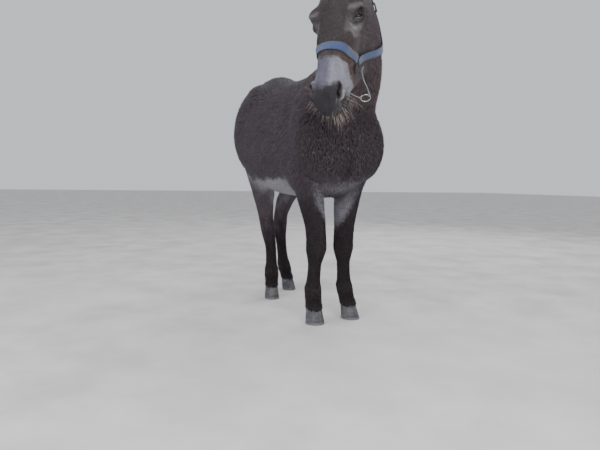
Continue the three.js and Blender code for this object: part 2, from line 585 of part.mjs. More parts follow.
// An ear is a shell with a crescent section, open to the front and side, that tapers to a point.
const earAt = smoothTable(EAR_SHELL);
function addEars() {
  for (const [name, s] of Object.entries(SIDES)) {
    const along = unit(add(add(head.u.map((x) => x * -0.95), head.v, s * 0.17), head.w, 0.12));
    const facing = unit(cross(cross(along, add(head.w, head.v, s * 0.75)), along));
    const across = cross(along, facing);
    const base = fromHead(EAR.base[0], s * EAR.base[1], EAR.base[2]);
    const rings = [];
    for (let i = 0; i <= 10; i++) {
      const t = i / 10;
      const { values: [radius, angle] } = earAt(t);
      const bow = 14 * Math.sin(Math.PI * t);
      const centre = add(add(base, along, EAR.length * t), facing, -bow);
      const wall = Math.min(EAR.wall, radius * 0.45);
      const arc = (r, from, to, steps) => Array.from({ length: steps + 1 }, (_, k) => {
        const a = radians(from + ((to - from) * k) / steps);
        return add(add(centre, across, r * Math.sin(a)), facing, -r * Math.cos(a));
      });
      rings.push([...arc(radius, -angle, angle, 7), ...arc(radius - wall, angle - 4, 4 - angle, 5)]);
    }
    const away = ["head", "neck", "mane"];
    addNode(`ear_${name}`, main(clearOf(ringSolid(rings), away, head.u.map((x) => x * -GAP))), "coat");
  }
}

function tailSolid(grow) {
  const rings = [];
  for (let i = 0; i <= 15; i++) {
    const t = i / 15;
    const along = unit(direction(TAIL_CURVE, t));
    const across = [1, 0, 0];
    const up = cross(across, along);
    const radius = tailAt(t).values[0] + grow;
    rings.push(Array.from({ length: 8 }, (_, k) => {
      const a = (2 * Math.PI * k) / 8;
      return add(add(bezier(TAIL_CURVE, t), across, radius * Math.cos(a)), up, radius * Math.sin(a));
    }));
  }
  return ringSolid(rings);
}
function addTail() {
  const tuftLine = side([0, 0, -1], [0, 0, 690]);
  const outside = side([0, 1, 0.2], [0, 470, 1040]);
  const whole = cut(tailSolid(0), [outside]).subtract(rumpBehindTail());
  addNode("tail_dock", main(cut(whole, [other(tuftLine)])), "coat");
  addNode("tail_tuft", main(cut(whole, [tuftLine])), "dark");
}
// The rump and thighs grown by a hair's breadth, so that the tail hangs clear of them.
const rumpBehindTail = () =>
  netMesh((p) => fleshField(p) - TAIL_CLEAR, [-120, 330, 640], [120, 620, 1215], TAIL_CELL);

function addLeg(name) {
  const s = name.endsWith("left") ? 1 : -1;
  const fore = name.startsWith("fore");
  const [y0, y1] = fore ? [-460, -150] : s > 0 ? [120, 600] : [30, 600];
  const [x0, x1] = s > 0 ? [-16, 262] : [-262, 16];
  const region = legRegion(name);
  const upperLine = side([0, 0, 1], [0, 0, fore ? 385 : 490]);
  const cannonLine = side([0, 0, 1], [0, 0, fore ? 138 : 300]);
  const pasternLine = side([0, 0, 1], [0, 0, 138]);
  const coronet = side([0, 0, 1], [0, 0, CORONET]);
  const whole = cut(fleshIn([x0, y0, 20], [x1, y1, fore ? 860 : 1020], LEG_CELL), region);
  const part = (planes) => main(cut(whole, planes));
  addNode(`${name}_${fore ? "arm" : "thigh"}`, part([upperLine]), "coat");
  if (!fore) addNode(`${name}_gaskin`, part([other(upperLine), cannonLine]), "coat");
  addNode(`${name}_cannon`, part([other(fore ? upperLine : cannonLine), pasternLine]), "coat");
  addNode(`${name}_pastern`, part([other(pasternLine), coronet]), "coat");
  addHoof(name, fore ? "front" : "hind");
}

// A hoof: level rings that narrow from the flat sole to the crown, sloping more at the toe than the heel.
function addHoof(name, place) {
  const [, x, y] = LEGS[name].axis[0];
  const { width, length } = HOOF[place];
  const rings = [0, 0.3, 0.7, 1].map((h) => {
    const front = y - length * 0.5 + length * 0.34 * h;
    const back = y + length * 0.5 - length * 0.02 * h;
    const half = (width / 2) * (1 - (1 - HOOF.crown) * h);
    const lean = legTables[name].axis(20 + (CORONET - 20) * h).values[0] - x;
    return Array.from({ length: 16 }, (_, k) => {
      const a = (2 * Math.PI * (k + 0.5)) / 16;
      const heel = Math.sin(a) > 0 ? HOOF.heel : 1;
      return [x + lean + half * Math.cos(a) * heel, (front + back) / 2 + ((back - front) / 2) * Math.sin(a),
        (CORONET - GAP) * h];
    });
  });
  const digit = name.replace(/^(fore|hind)leg/, "hoof_" + place);
  addNode(digit, ringSolid(rings), "horn");
}

// ---------------------------------------------------------------- headcollar
// What straps lie on: the coat and a little air.
const bedField = (p) => fleshField(p) - STRAP.clear;
const coatNormal = (p) => unit(gradient(bedField, p, 4));
// A smooth closed or open run of points through a few given in the head's frame, laid on the coat.
function laid(points, count, lift) {
  const curve = new THREE.CatmullRomCurve3(points.map((q) => new THREE.Vector3(...fromHead(...q))));
  return Array.from({ length: count + 1 }, (_, i) => {
    const p = settle(bedField, curve.getPointAt(i / count).toArray(), 30, 6);
    return add(p, coatNormal(p), lift);
  });
}
// Webbing along a run of points: five points across, each laid on the coat, and a flat outer face.
function strap(points, count) {
  const centre = laid(points, count, 0);
  const across = [-1, 0, 1];
  const rings = centre.map((c, i) => {
    const along = unit(sub(centre[Math.min(i + 1, count)], centre[Math.max(i - 1, 0)]));
    const out = coatNormal(c);
    const wide = unit(cross(along, out));
    const foot = across.map((k) => {
      const p = add(c, wide, (k * STRAP.width) / 2);
      return settle(bedField, p, 12, 4);
    });
    return [...foot, ...foot.map((p) => add(p, out, STRAP.thickness)).reverse()];
  });
  return ringSolid(rings);
}
function tubeSolid(path, radius, sides) {
  const rings = path.map((c, i) => {
    const along = unit(sub(path[Math.min(i + 1, path.length - 1)], path[Math.max(i - 1, 0)]));
    const a = unit(cross(along, Math.abs(along[0]) < 0.8 ? [1, 0, 0] : [0, 1, 0]));
    const b = cross(along, a);
    return Array.from({ length: sides }, (_, k) => {
      const angle = (2 * Math.PI * k) / sides;
      return add(add(c, a, radius * Math.cos(angle)), b, radius * Math.sin(angle));
    });
  });
  return ringSolid(rings);
}
function ringLoop(centre, normal, radius, wire) {
  const torus = fromGeometry(new THREE.TorusGeometry(radius, wire, 5, 12));
  const turn = new THREE.Quaternion().setFromUnitVectors(new THREE.Vector3(0, 0, 1), new THREE.Vector3(...normal));
  const m = new THREE.Matrix4().compose(new THREE.Vector3(...centre), turn, new THREE.Vector3(1, 1, 1));
  return torus.transform(m.elements);
}
// A square loop of wire whose bars lie along and across a direction, facing out.
function squareLoop(centre, out, direction, radius, wire) {
  const along = unit(sub(direction, out.map((x) => x * dot(direction, out))));
  const across = cross(out, along);
  const [x, y] = [unit(add(along, across)), unit(sub(across, along))];
  const m = new THREE.Matrix4().makeBasis(...[x, y, out].map((a) => new THREE.Vector3(...a)));
  m.setPosition(...centre);
  return fromGeometry(new THREE.TorusGeometry(radius, wire, 5, 4)).transform(m.elements);
}

// Where the webbing and cords lie, for the left side, in the head's frame
const RING = { at: [300, 66, -117], radius: 12, wire: 2.5 };
const NOSEBAND = [[303, 66, -98], [302, 64, -66], [298, 52, -22], [296, 27, -4], [295, 0, -2]];
const CHEEK_STRAP = [[292, 66, -134], [252, 72, -164], [212, 70, -198], [172, 60, -228],
  [130, 56, -222], [94, 58, -196], [62, 62, -166]];
const POLL_STRAP = [[48, 66, -156], [16, 64, -134], [-14, 50, -112], [-34, 24, -96], [-38, 0, -92]];
const JAW_RING = { at: [352, 22, -266], radius: 18, wire: 2.3, faces: [0.22, 0.5, 0.83] };
// Square wire frame where the cheek strap meets the one over the poll, at the middle of its side
const BUCKLE = { at: [55, 64, -161], along: [14, -4, -10], radius: 22, wire: 2.2 };
// Each cord hangs free from the side ring to its own side of the jaw ring.
const JAW_CORDS = {
  left: [[308, 72, -135], [317, 63, -144], [328, 52, -184], [336, 47, -225], [344.4, 41, -259]],
  right: [[308, -72, -135], [322, -66, -158], [338, -46, -200], [348, -20, -232], [355, 2, -252]],
};

function addHeadcollar() {
  const flip = ([u, v, w]) => [u, -v, w];
  const whole = (half) => [...half, ...half.slice(0, -1).reverse().map(flip)];
  addNode("halter_noseband", strap(whole(NOSEBAND), 18), "webbing");
  const crown = strap(whole(POLL_STRAP), 16);
  addNode("halter_poll_strap", main(clearOf(crown, ["neck", "mane", "ear_left", "ear_right"], head.w)), "webbing");
  for (const [name, s] of Object.entries(SIDES)) {
    const own = (points) => (s > 0 ? points : points.map(flip));
    const cheek = strap(own(CHEEK_STRAP), 14);
    const away = ["neck", "halter_poll_strap"];
    addNode(`halter_strap_${name}`, main(clearOf(cheek, away, head.v.map((x) => x * s))), "webbing");
    const p = settle(bedField, fromHead(...own([RING.at])[0]), 20, 6);
    const out = coatNormal(p);
    const lift = RING.wire + 1.5;
    addNode(`halter_ring_${name}`, ringLoop(add(p, out, lift), out, RING.radius, RING.wire), "edging");
    const q = settle(bedField, fromHead(...own([BUCKLE.at])[0]), 20, 6);
    const face = coatNormal(q);
    const top = add(q, face, STRAP.thickness + BUCKLE.wire + GAP);
    const direction = sub(fromHead(...own([BUCKLE.along])[0]), fromHead(0, 0, 0));
    const frame = squareLoop(top, face, direction, BUCKLE.radius, BUCKLE.wire);
    const under = ["neck", "halter_poll_strap", `halter_strap_${name}`];
    addNode(`halter_buckle_${name}`, main(clearOf(frame, under, head.v.map((x) => x * s * GAP))), "metal");
    const route = new THREE.CatmullRomCurve3(JAW_CORDS[name].map((q) => new THREE.Vector3(...fromHead(...q))));
    const cord = tubeSolid(route.getSpacedPoints(8).map((q) => q.toArray()), CORD_RADIUS, 6);
    addNode(`halter_cord_${name}`, cord, "cord");
  }
  addNode("halter_ring_jaw",
    ringLoop(fromHead(...JAW_RING.at), unit(JAW_RING.faces), JAW_RING.radius, JAW_RING.wire), "metal");
}

addTrunk();
addNeck();
addMane();
addHead();
addEyes();
addEars();
addTail();
for (const name of Object.keys(LEGS)) addLeg(name);
addHeadcollar();

// The row's origin is under the middle of the bounding box, on the floor.
const middle = new THREE.Box3().setFromObject(donkey).getCenter(new THREE.Vector3());
donkey.position.set(-middle.x, -middle.y, 0);

export default donkey;
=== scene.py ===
from functools import lru_cache

import bpy
import numpy as np
from mathutils import Matrix, Vector


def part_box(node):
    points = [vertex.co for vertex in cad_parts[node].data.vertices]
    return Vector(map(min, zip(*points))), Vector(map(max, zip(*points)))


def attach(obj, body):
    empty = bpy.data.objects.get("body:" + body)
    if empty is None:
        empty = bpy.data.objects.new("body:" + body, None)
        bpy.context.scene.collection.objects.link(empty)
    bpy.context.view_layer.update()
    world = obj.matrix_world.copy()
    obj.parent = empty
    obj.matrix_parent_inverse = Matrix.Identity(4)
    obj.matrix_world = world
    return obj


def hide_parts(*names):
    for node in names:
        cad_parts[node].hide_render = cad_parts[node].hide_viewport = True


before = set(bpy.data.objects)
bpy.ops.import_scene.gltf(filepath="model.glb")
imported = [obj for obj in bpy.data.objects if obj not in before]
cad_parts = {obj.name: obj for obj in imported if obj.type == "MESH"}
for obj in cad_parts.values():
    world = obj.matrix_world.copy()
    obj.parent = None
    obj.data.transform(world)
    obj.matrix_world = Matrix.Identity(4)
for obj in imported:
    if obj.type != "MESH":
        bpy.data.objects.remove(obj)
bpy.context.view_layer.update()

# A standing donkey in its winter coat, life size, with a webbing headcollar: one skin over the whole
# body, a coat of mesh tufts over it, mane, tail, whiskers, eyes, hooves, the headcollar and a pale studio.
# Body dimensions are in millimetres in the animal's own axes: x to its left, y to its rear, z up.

bl_info = {
    "name": "Donkey in winter coat",
    "version": (1, 0, 0),
    "blender": (4, 5, 0),
    "location": "3D View > Sidebar > Donkey",
    "description": "Builds a standing donkey with its coat, headcollar and a plain studio",
    "category": "Object",
}

MM = 0.001
FAR = 200.0  # a distance that no blend reaches

# ------------------------------------------------------------------------------ body dimensions
# Head frame: u down the nose from the poll, v to the animal's left, w out of the forehead
POLL = np.array([-164.0, -705.0, 1347.0])
HEAD_TURN, HEAD_DROP, HEAD_TILT = np.radians([55.4, 71.5, 3.7])
EYE = np.array([184.0, 75.0, -36.0])
EYE_RADIUS = 20.0
EAR_LENGTH = 255.0
EAR_BASE = (22.0, 56.0, -58.0)
CORONET = 72.0
STRIDE = 172.0  # how far the right hind foot stands ahead of the left one

# y, top z, bottom z, half width, z of the widest point, x of the middle, roundness of the back
TRUNK = [
    (-512, 820, 735, 30, 780, 14, 1.8), (-495, 870, 690, 92, 780, 14, 1.8),
    (-460, 945, 640, 132, 778, 14, 1.7), (-400, 1020, 592, 160, 778, 14, 1.6),
    (-330, 1092, 561, 178, 780, 14, 1.5), (-260, 1124, 552, 188, 780, 12, 1.48),
    (-190, 1113, 552, 197, 778, 10, 1.55), (-110, 1106, 553, 208, 773, 7, 1.7),
    (-30, 1104, 554, 218, 768, 4, 1.85), (70, 1112, 560, 226, 770, 0, 1.9),
    (160, 1143, 580, 225, 790, 0, 1.95), (255, 1172, 622, 215, 830, 0, 1.95),
    (345, 1152, 680, 206, 860, 0, 1.95), (430, 1098, 740, 182, 880, 0, 2),
    (490, 1035, 790, 136, 885, 0, 2), (525, 960, 845, 58, 895, 0, 2),
]
# Muscles and bony points of the left side: centre, radii, tilt about x in degrees
SHOULDER_BLADE = ((112, -358, 840), (64, 86, 178), 24)
SHOULDER_POINT = ((118, -425, 775), (68, 75, 120), 0)
TRICEPS = ((132, -280, 700), (58, 88, 105), 0)
BREAST = ((60, -456, 712), (66, 60, 88), 0)
HIP_POINT = ((138, 205, 1042), (60, 78, 62), 0)
FRONT_MUSCLES = (SHOULDER_BLADE, SHOULDER_POINT, TRICEPS, BREAST, HIP_POINT)
THIGH = ((126, 360, 880), (92, 132, 205), -14)
STIFLE = ((142, 232, 700), (62, 80, 105), -20)
BUTTOCK = ((82, 452, 850), (72, 74, 175), 8)
HAMSTRING = ((96, 398, 690), (56, 62, 125), -12)
# each with the share of the stride that it follows
HAUNCH = ((THIGH, 0.12), (STIFLE, 0.55), (BUTTOCK, 0.0), (HAMSTRING, 0.45))

# z, half width, forwards, backwards
FORE_GIRTH = [
    (20, 38, 40, 38), (72, 37, 38, 37), (92, 33, 32, 35), (114, 30, 29, 33), (150, 35, 35, 42),
    (172, 32, 31, 36), (205, 30, 29, 33), (250, 30, 29, 33), (290, 38, 35, 38), (332, 46, 43, 45),
    (368, 45, 43, 44), (410, 45, 46, 46), (480, 50, 57, 56), (560, 57, 70, 66), (640, 60, 80, 76),
    (720, 55, 80, 80),
]
HIND_GIRTH = [
    (20, 35, 37, 35), (72, 34, 35, 34), (92, 31, 31, 33), (115, 30, 29, 32), (150, 34, 33, 39),
    (185, 30, 29, 34), (240, 29, 29, 34), (300, 32, 32, 39), (345, 36, 38, 44), (385, 38, 41, 51),
    (412, 37, 39, 57), (450, 40, 42, 57), (500, 46, 51, 69), (560, 55, 61, 85), (640, 66, 75, 104),
    (720, 76, 86, 120),
]
# z, x, y of each leg's axis, joint by joint
LEG_AXES = {
    "front_left": [(20, 134, -300), (72, 126, -290), (110, 121, -277), (150, 117, -268),
                   (250, 103, -280), (340, 94, -293), (420, 98, -290), (540, 112, -282),
                   (720, 128, -285)],
    "front_right": [(20, -57, -322), (72, -57, -312), (110, -53, -297), (150, -51, -288),
                    (250, -51, -298), (340, -50, -312), (420, -54, -308), (540, -72, -292),
                    (720, -108, -285)],
    "hind_left": [(20, 106, 372), (72, 98, 383), (110, 92, 397), (150, 87, 410), (250, 78, 426),
                  (345, 74, 438), (412, 74, 432), (500, 78, 385), (600, 108, 318), (720, 132, 278)],
    "hind_right": [(20, -66, 195), (72, -63, 206), (110, -58, 219), (150, -54, 233),
                   (250, -52, 252), (345, -62, 267), (412, -74, 262), (500, -98, 228),
                   (600, -122, 194), (720, -138, 200)],
}
HOOF_SIZE = {"front": (86, 96), "hind": (79, 90)}  # width, length of the sole

NECK_CURVE = np.array([(12.0, -270, 925), (52, -560, 1030), (-104, -664, 1245)])
NECK_CREST = np.array([(0, 0.35, 0.94), (-0.5, -0.22, 0.84)])  # towards the crest, base and poll
NECK = [(0, 114, 174), (0.25, 114, 156), (0.5, 88, 144), (0.75, 67, 130), (1, 54, 112)]

# u, centre w, half width, up, down
SKULL = [
    (-30, -78, 34, 34, 44), (5, -74, 54, 64, 70), (60, -75, 68, 80, 86), (120, -75, 73, 86, 92),
    (180, -74, 75, 80, 92), (240, -72, 65, 71, 88), (300, -68, 58, 63, 76), (360, -63, 48, 56, 62),
    (405, -62, 47, 52, 53), (455, -67, 44, 43, 46), (484, -76, 31, 28, 32), (496, -80, 14, 12, 14),
]
JAW = [
    (70, -150, 34, 50, 40), (110, -165, 42, 55, 55), (150, -178, 46, 60, 62), (195, -184, 49, 62, 67),
    (245, -182, 48, 62, 66), (300, -168, 43, 56, 58), (345, -142, 39, 48, 52), (385, -124, 38, 42, 38),
    (420, -116, 38, 36, 31), (455, -108, 34, 30, 24), (478, -102, 24, 20, 16),
]
# Fleshy and bony features of the head's left side: centre (u, v, w), radii
FACE_FEATURES = [
    ((165, 45, -146), (82, 27, 76)),  # cheek muscle
    ((118, 50, -34), (54, 35, 32)),  # outer forehead
    ((160, 74, -21), (34, 36, 27)),  # brow over the eye
    ((188, 64, -54), (34, 26, 26)),  # rim under the eye
    ((262, 52, -84), (70, 15, 18)),  # facial crest
    ((236, 40, -36), (56, 24, 24)),  # edge of the nose bone
    ((440, 36, -46), (34, 25, 30)),  # side of the nostril
    ((466, 13, -84), (28, 29, 34)),  # upper lip
    ((438, 14, -122), (40, 27, 24)),  # chin and lower lip
    ((20, 48, -62), (44, 30, 40)),  # base of the ear
]
# Ear sections from base to tip: share, radius, half angle of the shell in degrees
EAR_SHELL = [(0, 27, 150), (0.15, 31, 132), (0.35, 37, 108), (0.55, 38, 92), (0.75, 32, 78),
             (0.9, 20, 66), (1, 4, 50)]
TAIL_CURVE = np.array([(0.0, 440, 1032), (0, 575, 1050), (0, 590, 790), (0, 556, 440)])
TAIL_CORE = [(0, 34), (0.15, 28), (0.35, 19), (0.5, 15), (0.62, 9)]  # share, radius of the flesh

# ------------------------------------------------------------------------------ vectors and tables
def unit(a):
    """Rows of a, each divided by its own length."""
    a = np.asarray(a, float)
    return a / np.maximum(np.linalg.norm(a, axis=-1, keepdims=True), 1e-12)


def rows_dot(a, b):
    """Dot product of each row of a with the same row of b."""
    return np.einsum("...i,...i->...", a, b)


def soft(x, low, high):
    """0 below low and 1 above high, with a smooth 3t^2 - 2t^3 rise between them."""
    t = np.clip((x - low) / (high - low), 0, 1)
    return t * t * (3 - 2 * t)


def bump(x, centre, width):
    """A bell of height 1: exp(-((x - centre) / width)^2)."""
    return np.exp(-(((x - centre) / width) ** 2))


def smooth_table(rows, steps=400):
    """Monotone cubic curves through a table's columns, as a lookup of its first column.

    Each tangent is the harmonic mean of the slopes on both sides, or 0 where they disagree.
    """
    rows = np.array(rows, float)
    t, y = rows[:, 0], rows[:, 1:]
    slope = np.diff(y, axis=0) / np.diff(t)[:, None]
    before, after = slope[:-1], slope[1:]
    product = before * after
    total = np.where(product > 0, before + after, 1)
    inner = np.where(product > 0, 2 * product / total, 0)
    tangent = np.vstack([slope[:1], inner, slope[-1:]])
    at = np.linspace(t[0], t[-1], steps + 1)
    i = np.clip(np.searchsorted(t, at) - 1, 0, len(t) - 2)
    h = (t[i + 1] - t[i])[:, None]
    s = (at - t[i])[:, None] / h
    fine = (y[i] * (1 + 2 * s) * (1 - s) ** 2 + tangent[i] * h * s * (1 - s) ** 2
            + y[i + 1] * s * s * (3 - 2 * s) + tangent[i + 1] * h * s * s * (s - 1))
    span = t[-1] - t[0]

    def look(at):
        """Values, slopes, and how far each point lies past the table's ends."""
        k = np.clip((at - t[0]) / span * steps, 0, steps - 1e-6)
        cell = k.astype(int)
        step = fine[cell + 1] - fine[cell]
        values = fine[cell] + step * (k - cell)[:, None]
        past = np.maximum(np.maximum(t[0] - at, at - t[-1]), 0)
        return values.T, (step * steps / span).T, past

    return look


def head_axes():
    """Unit vectors u, v and w of the head, from its turn, drop and tilt."""
    turn, drop, tilt = HEAD_TURN, HEAD_DROP, HEAD_TILT
    u = np.array([-np.sin(turn) * np.cos(drop), -np.cos(turn) * np.cos(drop), -np.sin(drop)])
    level = np.array([np.cos(turn), -np.sin(turn), 0])
    out = np.cross(u, level)
    v = level * np.cos(tilt) + out * np.sin(tilt)
    w = out * np.cos(tilt) - level * np.sin(tilt)
    return np.array([u, v, w])


HEAD = head_axes()


def from_head(q):
    """Body coordinates of points given as u, v, w."""
    return POLL + np.asarray(q, float) @ HEAD


def to_head(p):
    """u, v, w of points given in body coordinates."""
    return (p - POLL) @ HEAD.T


def body_to_world():
    """The move from body axes to the frame, in metres, read from where the left eye is."""
    low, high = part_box("eye_left")
    return (np.array(low) + np.array(high)) / 2 - from_head(EYE) * MM


SHIFT = body_to_world()


def to_world(p):
    """Metres in the frame, from millimetres in the body's axes."""
    return p * MM + SHIFT


def to_body(p):
    """Millimetres in the body's axes, from metres in the frame."""
    return (p - SHIFT) / MM


# ------------------------------------------------------------------------------ the body as a field
def section(a, b, half_a, half_b, power, slope_a, slope_b, past):
    """First-order distance from the superellipse |a/A|^n + |b/B|^n = 1, leaning with its loft."""
    x, y = np.abs(a) / half_a, np.abs(b) / half_b
    r = np.maximum((x**power + y**power) ** (1 / power), 0.05)
    gx = (x / r) ** (power - 1) / half_a
    gy = (y / r) ** (power - 1) / half_b
    lean = ((slope_a * x) ** 2 + (slope_b * y) ** 2) / (r * r)
    d = (r - 1) / np.sqrt((gx * gx + gy * gy) * (1 + lean))
    return np.where(past > 0, np.hypot(np.maximum(d, 0), past), d)


def ellipsoid(p, centre, radii):
    """Distance from an ellipsoid, k0 (k0 - 1) / k1 of the scaled lengths k0 = |q/r|, k1 = |q/r^2|."""
    q = (p - np.array(centre, float)) / np.array(radii, float)
    k0 = np.linalg.norm(q, axis=-1)
    k1 = np.maximum(np.linalg.norm(q / np.array(radii, float), axis=-1), 1e-6)
    return k0 * (k0 - 1) / k1


def leaning(p, centre, radii, tilt):
    """An ellipsoid turned by tilt degrees about x."""
    q = p - np.array(centre, float)
    c, s = np.cos(np.radians(tilt)), np.sin(np.radians(tilt))
    turned = np.stack([q[:, 0], c * q[:, 1] - s * q[:, 2], s * q[:, 1] + c * q[:, 2]], axis=1)
    return ellipsoid(turned, (0, 0, 0), radii)


def blend(a, b, width):
    """The lower of two distances, rounded where they meet: min(a, b) - h^2 width / 4."""
    h = np.maximum(width - np.abs(a - b), 0) / width
    return np.minimum(a, b) - h * h * width / 4


def carve(a, tool, width):
    """a with tool cut out of it, the edge rounded over a width."""
    return -blend(-a, tool, width)


def within(p, low, high, part):
    """part's distance inside a box, and far away elsewhere."""
    inside = np.all((p > np.array(low)) & (p < np.array(high)), axis=1)
    d = np.full(len(p), FAR)
    if inside.any():
        d[inside] = part(p[inside])
    return d


trunk_at = smooth_table(TRUNK)
neck_at = smooth_table(NECK)
skull_at = smooth_table(SKULL)
jaw_at = smooth_table(JAW)
ear_at = smooth_table(EAR_SHELL)
core_at = smooth_table(TAIL_CORE)
GIRTHS = {"front": smooth_table(FORE_GIRTH), "hind": smooth_table(HIND_GIRTH)}
AXES = {leg: smooth_table(rows) for leg, rows in LEG_AXES.items()}
LEGS = list(LEG_AXES)


def trunk_field(p):
    """Loft along y: a flatter section above its widest point, a rounder one below."""
    (top, bottom, half, wide, middle, back), slopes, past = trunk_at(p[:, 1])
    b = p[:, 2] - wide
    up = b > 0
    tall = np.where(up, top - wide, wide - bottom)
    slope = np.where(up, slopes[0] - slopes[3], slopes[3] - slopes[1])
    power = np.where(up, back, 2.25)
    return section(p[:, 0] - middle, b, half, tall, power, slopes[2], slope, past)


def leg_field(p, leg):
    """Loft up a leg: its axis moves with z, and it is thicker to the rear than to the front."""
    (half, front, back), slopes, past = GIRTHS[leg.split("_")[0]](p[:, 2])
    (x, y), _, _ = AXES[leg](p[:, 2])
    b = p[:, 1] - y
    ahead = b < 0
    return section(p[:, 0] - x, b, half, np.where(ahead, front, back), 2.1, slopes[0],
                   np.where(ahead, slopes[1], slopes[2]), past)


def bezier(points, t):
    """Points of a Bezier curve of degree 2 or 3, and its derivative, at shares t."""
    s, t = (1 - t)[:, None], t[:, None]
    if len(points) == 3:
        a, b, c = points
        return s * s * a + 2 * s * t * b + t * t * c, 2 * s * (b - a) + 2 * t * (c - b)
    a, b, c, d = points
    place = s**3 * a + 3 * s * s * t * b + 3 * s * t * t * c + t**3 * d
    return place, 3 * s * s * (b - a) + 6 * s * t * (c - b) + 3 * t * t * (d - c)


def nearest(points, p):
    """Share of the way along a curve nearest to p, by six damped Newton steps from the chord."""
    chord = points[-1] - points[0]
    t = np.clip((p - points[0]) @ chord / (chord @ chord), -0.2, 1.2)
    for _ in range(6):
        place, slope = bezier(points, t)
        t = np.clip(t + 0.8 * rows_dot(p - place, slope) / rows_dot(slope, slope), -0.2, 1.2)
    return t


def neck_frame(t):
    """Centre, unit side, crest and direction of the neck at shares t."""
    s = np.clip(t, 0, 1)
    centre, along = bezier(NECK_CURVE, s)
    along = unit(along)
    lean = NECK_CREST[0] * (1 - s)[:, None] + NECK_CREST[1] * s[:, None]
    side = unit(np.cross(along, lean))
    return centre, side, np.cross(side, along), along


def neck_field(p):
    """Loft along the neck's curve, narrower towards the crest."""
    t = nearest(NECK_CURVE, p)
    centre, side, crest, along = neck_frame(t)
    (half, depth), _, _ = neck_at(t)
    d = p - centre
    past = np.where((t < 0) | (t > 1), np.abs(rows_dot(d, along)), 0)
    b = rows_dot(d, crest)
    return section(rows_dot(d, side), b, half, depth, np.where(b > 0, 1.75, 2.1), 0, 0, past)


def head_loft(table, q, power):
    """Loft down the nose line with its own height above and below the section's centre."""
    (centre, half, up, down), slopes, past = table(q[:, 0])
    b = q[:, 2] - centre
    above = b > 0
    return section(q[:, 1], b, half, np.where(above, up, down), power, slopes[1],
                   np.where(above, slopes[2], slopes[3]), past)


def haunch_field(folded, ahead):
    """Thigh, stifle, buttock and hamstring of one side, each moved with its share of the stride."""
    d = None
    for (centre, radii, tilt), share in HAUNCH:
        moved = folded + np.array([0, 1, 0]) * (ahead * share)[:, None]
        part = leaning(moved, centre, radii, tilt)
        d = part if d is None else blend(d, part, 60)
    return d


def tail_field(p):
    """Round flesh of the tail along its curve, to where only hair goes on."""
    t = np.clip(nearest(TAIL_CURVE, p), 0, TAIL_CORE[-1][0])
    place, _ = bezier(TAIL_CURVE, t)
    (radius,), _, _ = core_at(t)
    return np.linalg.norm(p - place, axis=1) - radius


def nostril(folded):
    """Hollow of the nostril: its round pit and the slit behind it."""
    return blend(ellipsoid(folded, *NOSTRIL_PIT), ellipsoid(folded, *NOSTRIL_SLIT), 8)


def folded_head(q):
    """Points of the head moved to its left half, as both halves are alike."""
    return np.stack([q[:, 0], np.abs(q[:, 1]), q[:, 2]], axis=1)


def head_field(p):
    """Skull and jaw lofts with their features, and the hollow that the eye sits in."""
    q = to_head(p)
    folded = folded_head(q)
    d = blend(head_loft(skull_at, q, 2.4), head_loft(jaw_at, q, 2.2), 34)
    for centre, radii in FACE_FEATURES:
        d = blend(d, ellipsoid(folded, centre, radii), 20)
    return carve(d, ellipsoid(folded, *EYE_BOWL), 8)


# The lids' own frame on the left side, in head coordinates: out of the eye, along it, and up
EYE_BOWL = ((187, 101, -22), (26, 17, 17))
EYE_OUT = unit((0.16, 0.84, 0.5))
EYE_LINE = np.array([0.60, -0.20, 0.77])  # from the back corner to the front one
EYE_ALONG = unit(EYE_LINE - EYE_OUT * (EYE_LINE @ EYE_OUT))
EYE_UP = -np.cross(EYE_OUT, EYE_ALONG)
LID_THICKNESS = 3.4
LID_LENGTH = 18.0  # half the opening's length
LID_ABOVE, LID_BELOW = 9.5, 7.5  # how far the opening reaches above and below its middle
LID_SHIFT = 1.0


def lid_edge(a, above):
    """Half height of the almond opening at a along it: H (1 - (a/A)^2)^0.75."""
    height = np.where(above, LID_ABOVE, LID_BELOW)
    return height * np.maximum(1 - (a / LID_LENGTH) ** 2, 0) ** 0.75


def eye_opening(folded):
    """Signed distance, roughly, from the prism of the almond between the lids."""
    d = folded - EYE
    a, b, o = d @ EYE_ALONG, d @ EYE_UP - LID_SHIFT, d @ EYE_OUT
    beside = np.abs(b) - lid_edge(a, b > 0)
    ends = np.abs(a) - LID_LENGTH
    return np.maximum(np.maximum(beside, ends), 2 - o)


# Nostril of the left side: a round lower pit and the slit that curls up and back from it
NOSTRIL_PIT = ((452, 44, -47), (13, 13, 15))
NOSTRIL_SLIT = ((434, 50, -36), (20, 9, 8))
NOSTRIL_RIM = ((440, 56, -56), (24, 8, 13))
NOSTRIL_FOLD = ((430, 44, -26), (24, 10, 9))
MOUTH_AT = (400, -104, 0.1)  # u and w of the corner line's foot, and its slope
MOUTH_CORNER = 392


def mouth_height(q):
    """Height over the plane between the lips: w + 104 + 0.1 (u - 400)."""
    u, w, slope = MOUTH_AT
    return q[:, 2] - w + slope * (q[:, 0] - u)


def face_details(p, d):
    """Cuts the lids' opening, nostrils and mouth into the skin, and lays the lids over the eyes."""
    q = to_head(p)
    near = (q[:, 0] > 120) & (q[:, 0] < 520) & (np.abs(q[:, 2] + 90) < 130)
    q, kept = q[near], d.copy()
    folded = folded_head(q)
    e = d[near]
    ball = np.linalg.norm(folded - EYE, axis=1)
    e = blend(e, ball - (EYE_RADIUS + LID_THICKNESS), 7)
    e = carve(e, eye_opening(folded), 1.5)
    e = blend(e, ellipsoid(folded, *NOSTRIL_RIM), 9)
    e = blend(e, ellipsoid(folded, *NOSTRIL_FOLD), 9)
    e = carve(e, nostril(folded), 4)
    lips = np.maximum(np.abs(mouth_height(q)) - 1.6, -(e + 7))
    lips = np.maximum(lips, MOUTH_CORNER - q[:, 0])
    kept[near] = carve(e, lips, 5)
    return kept


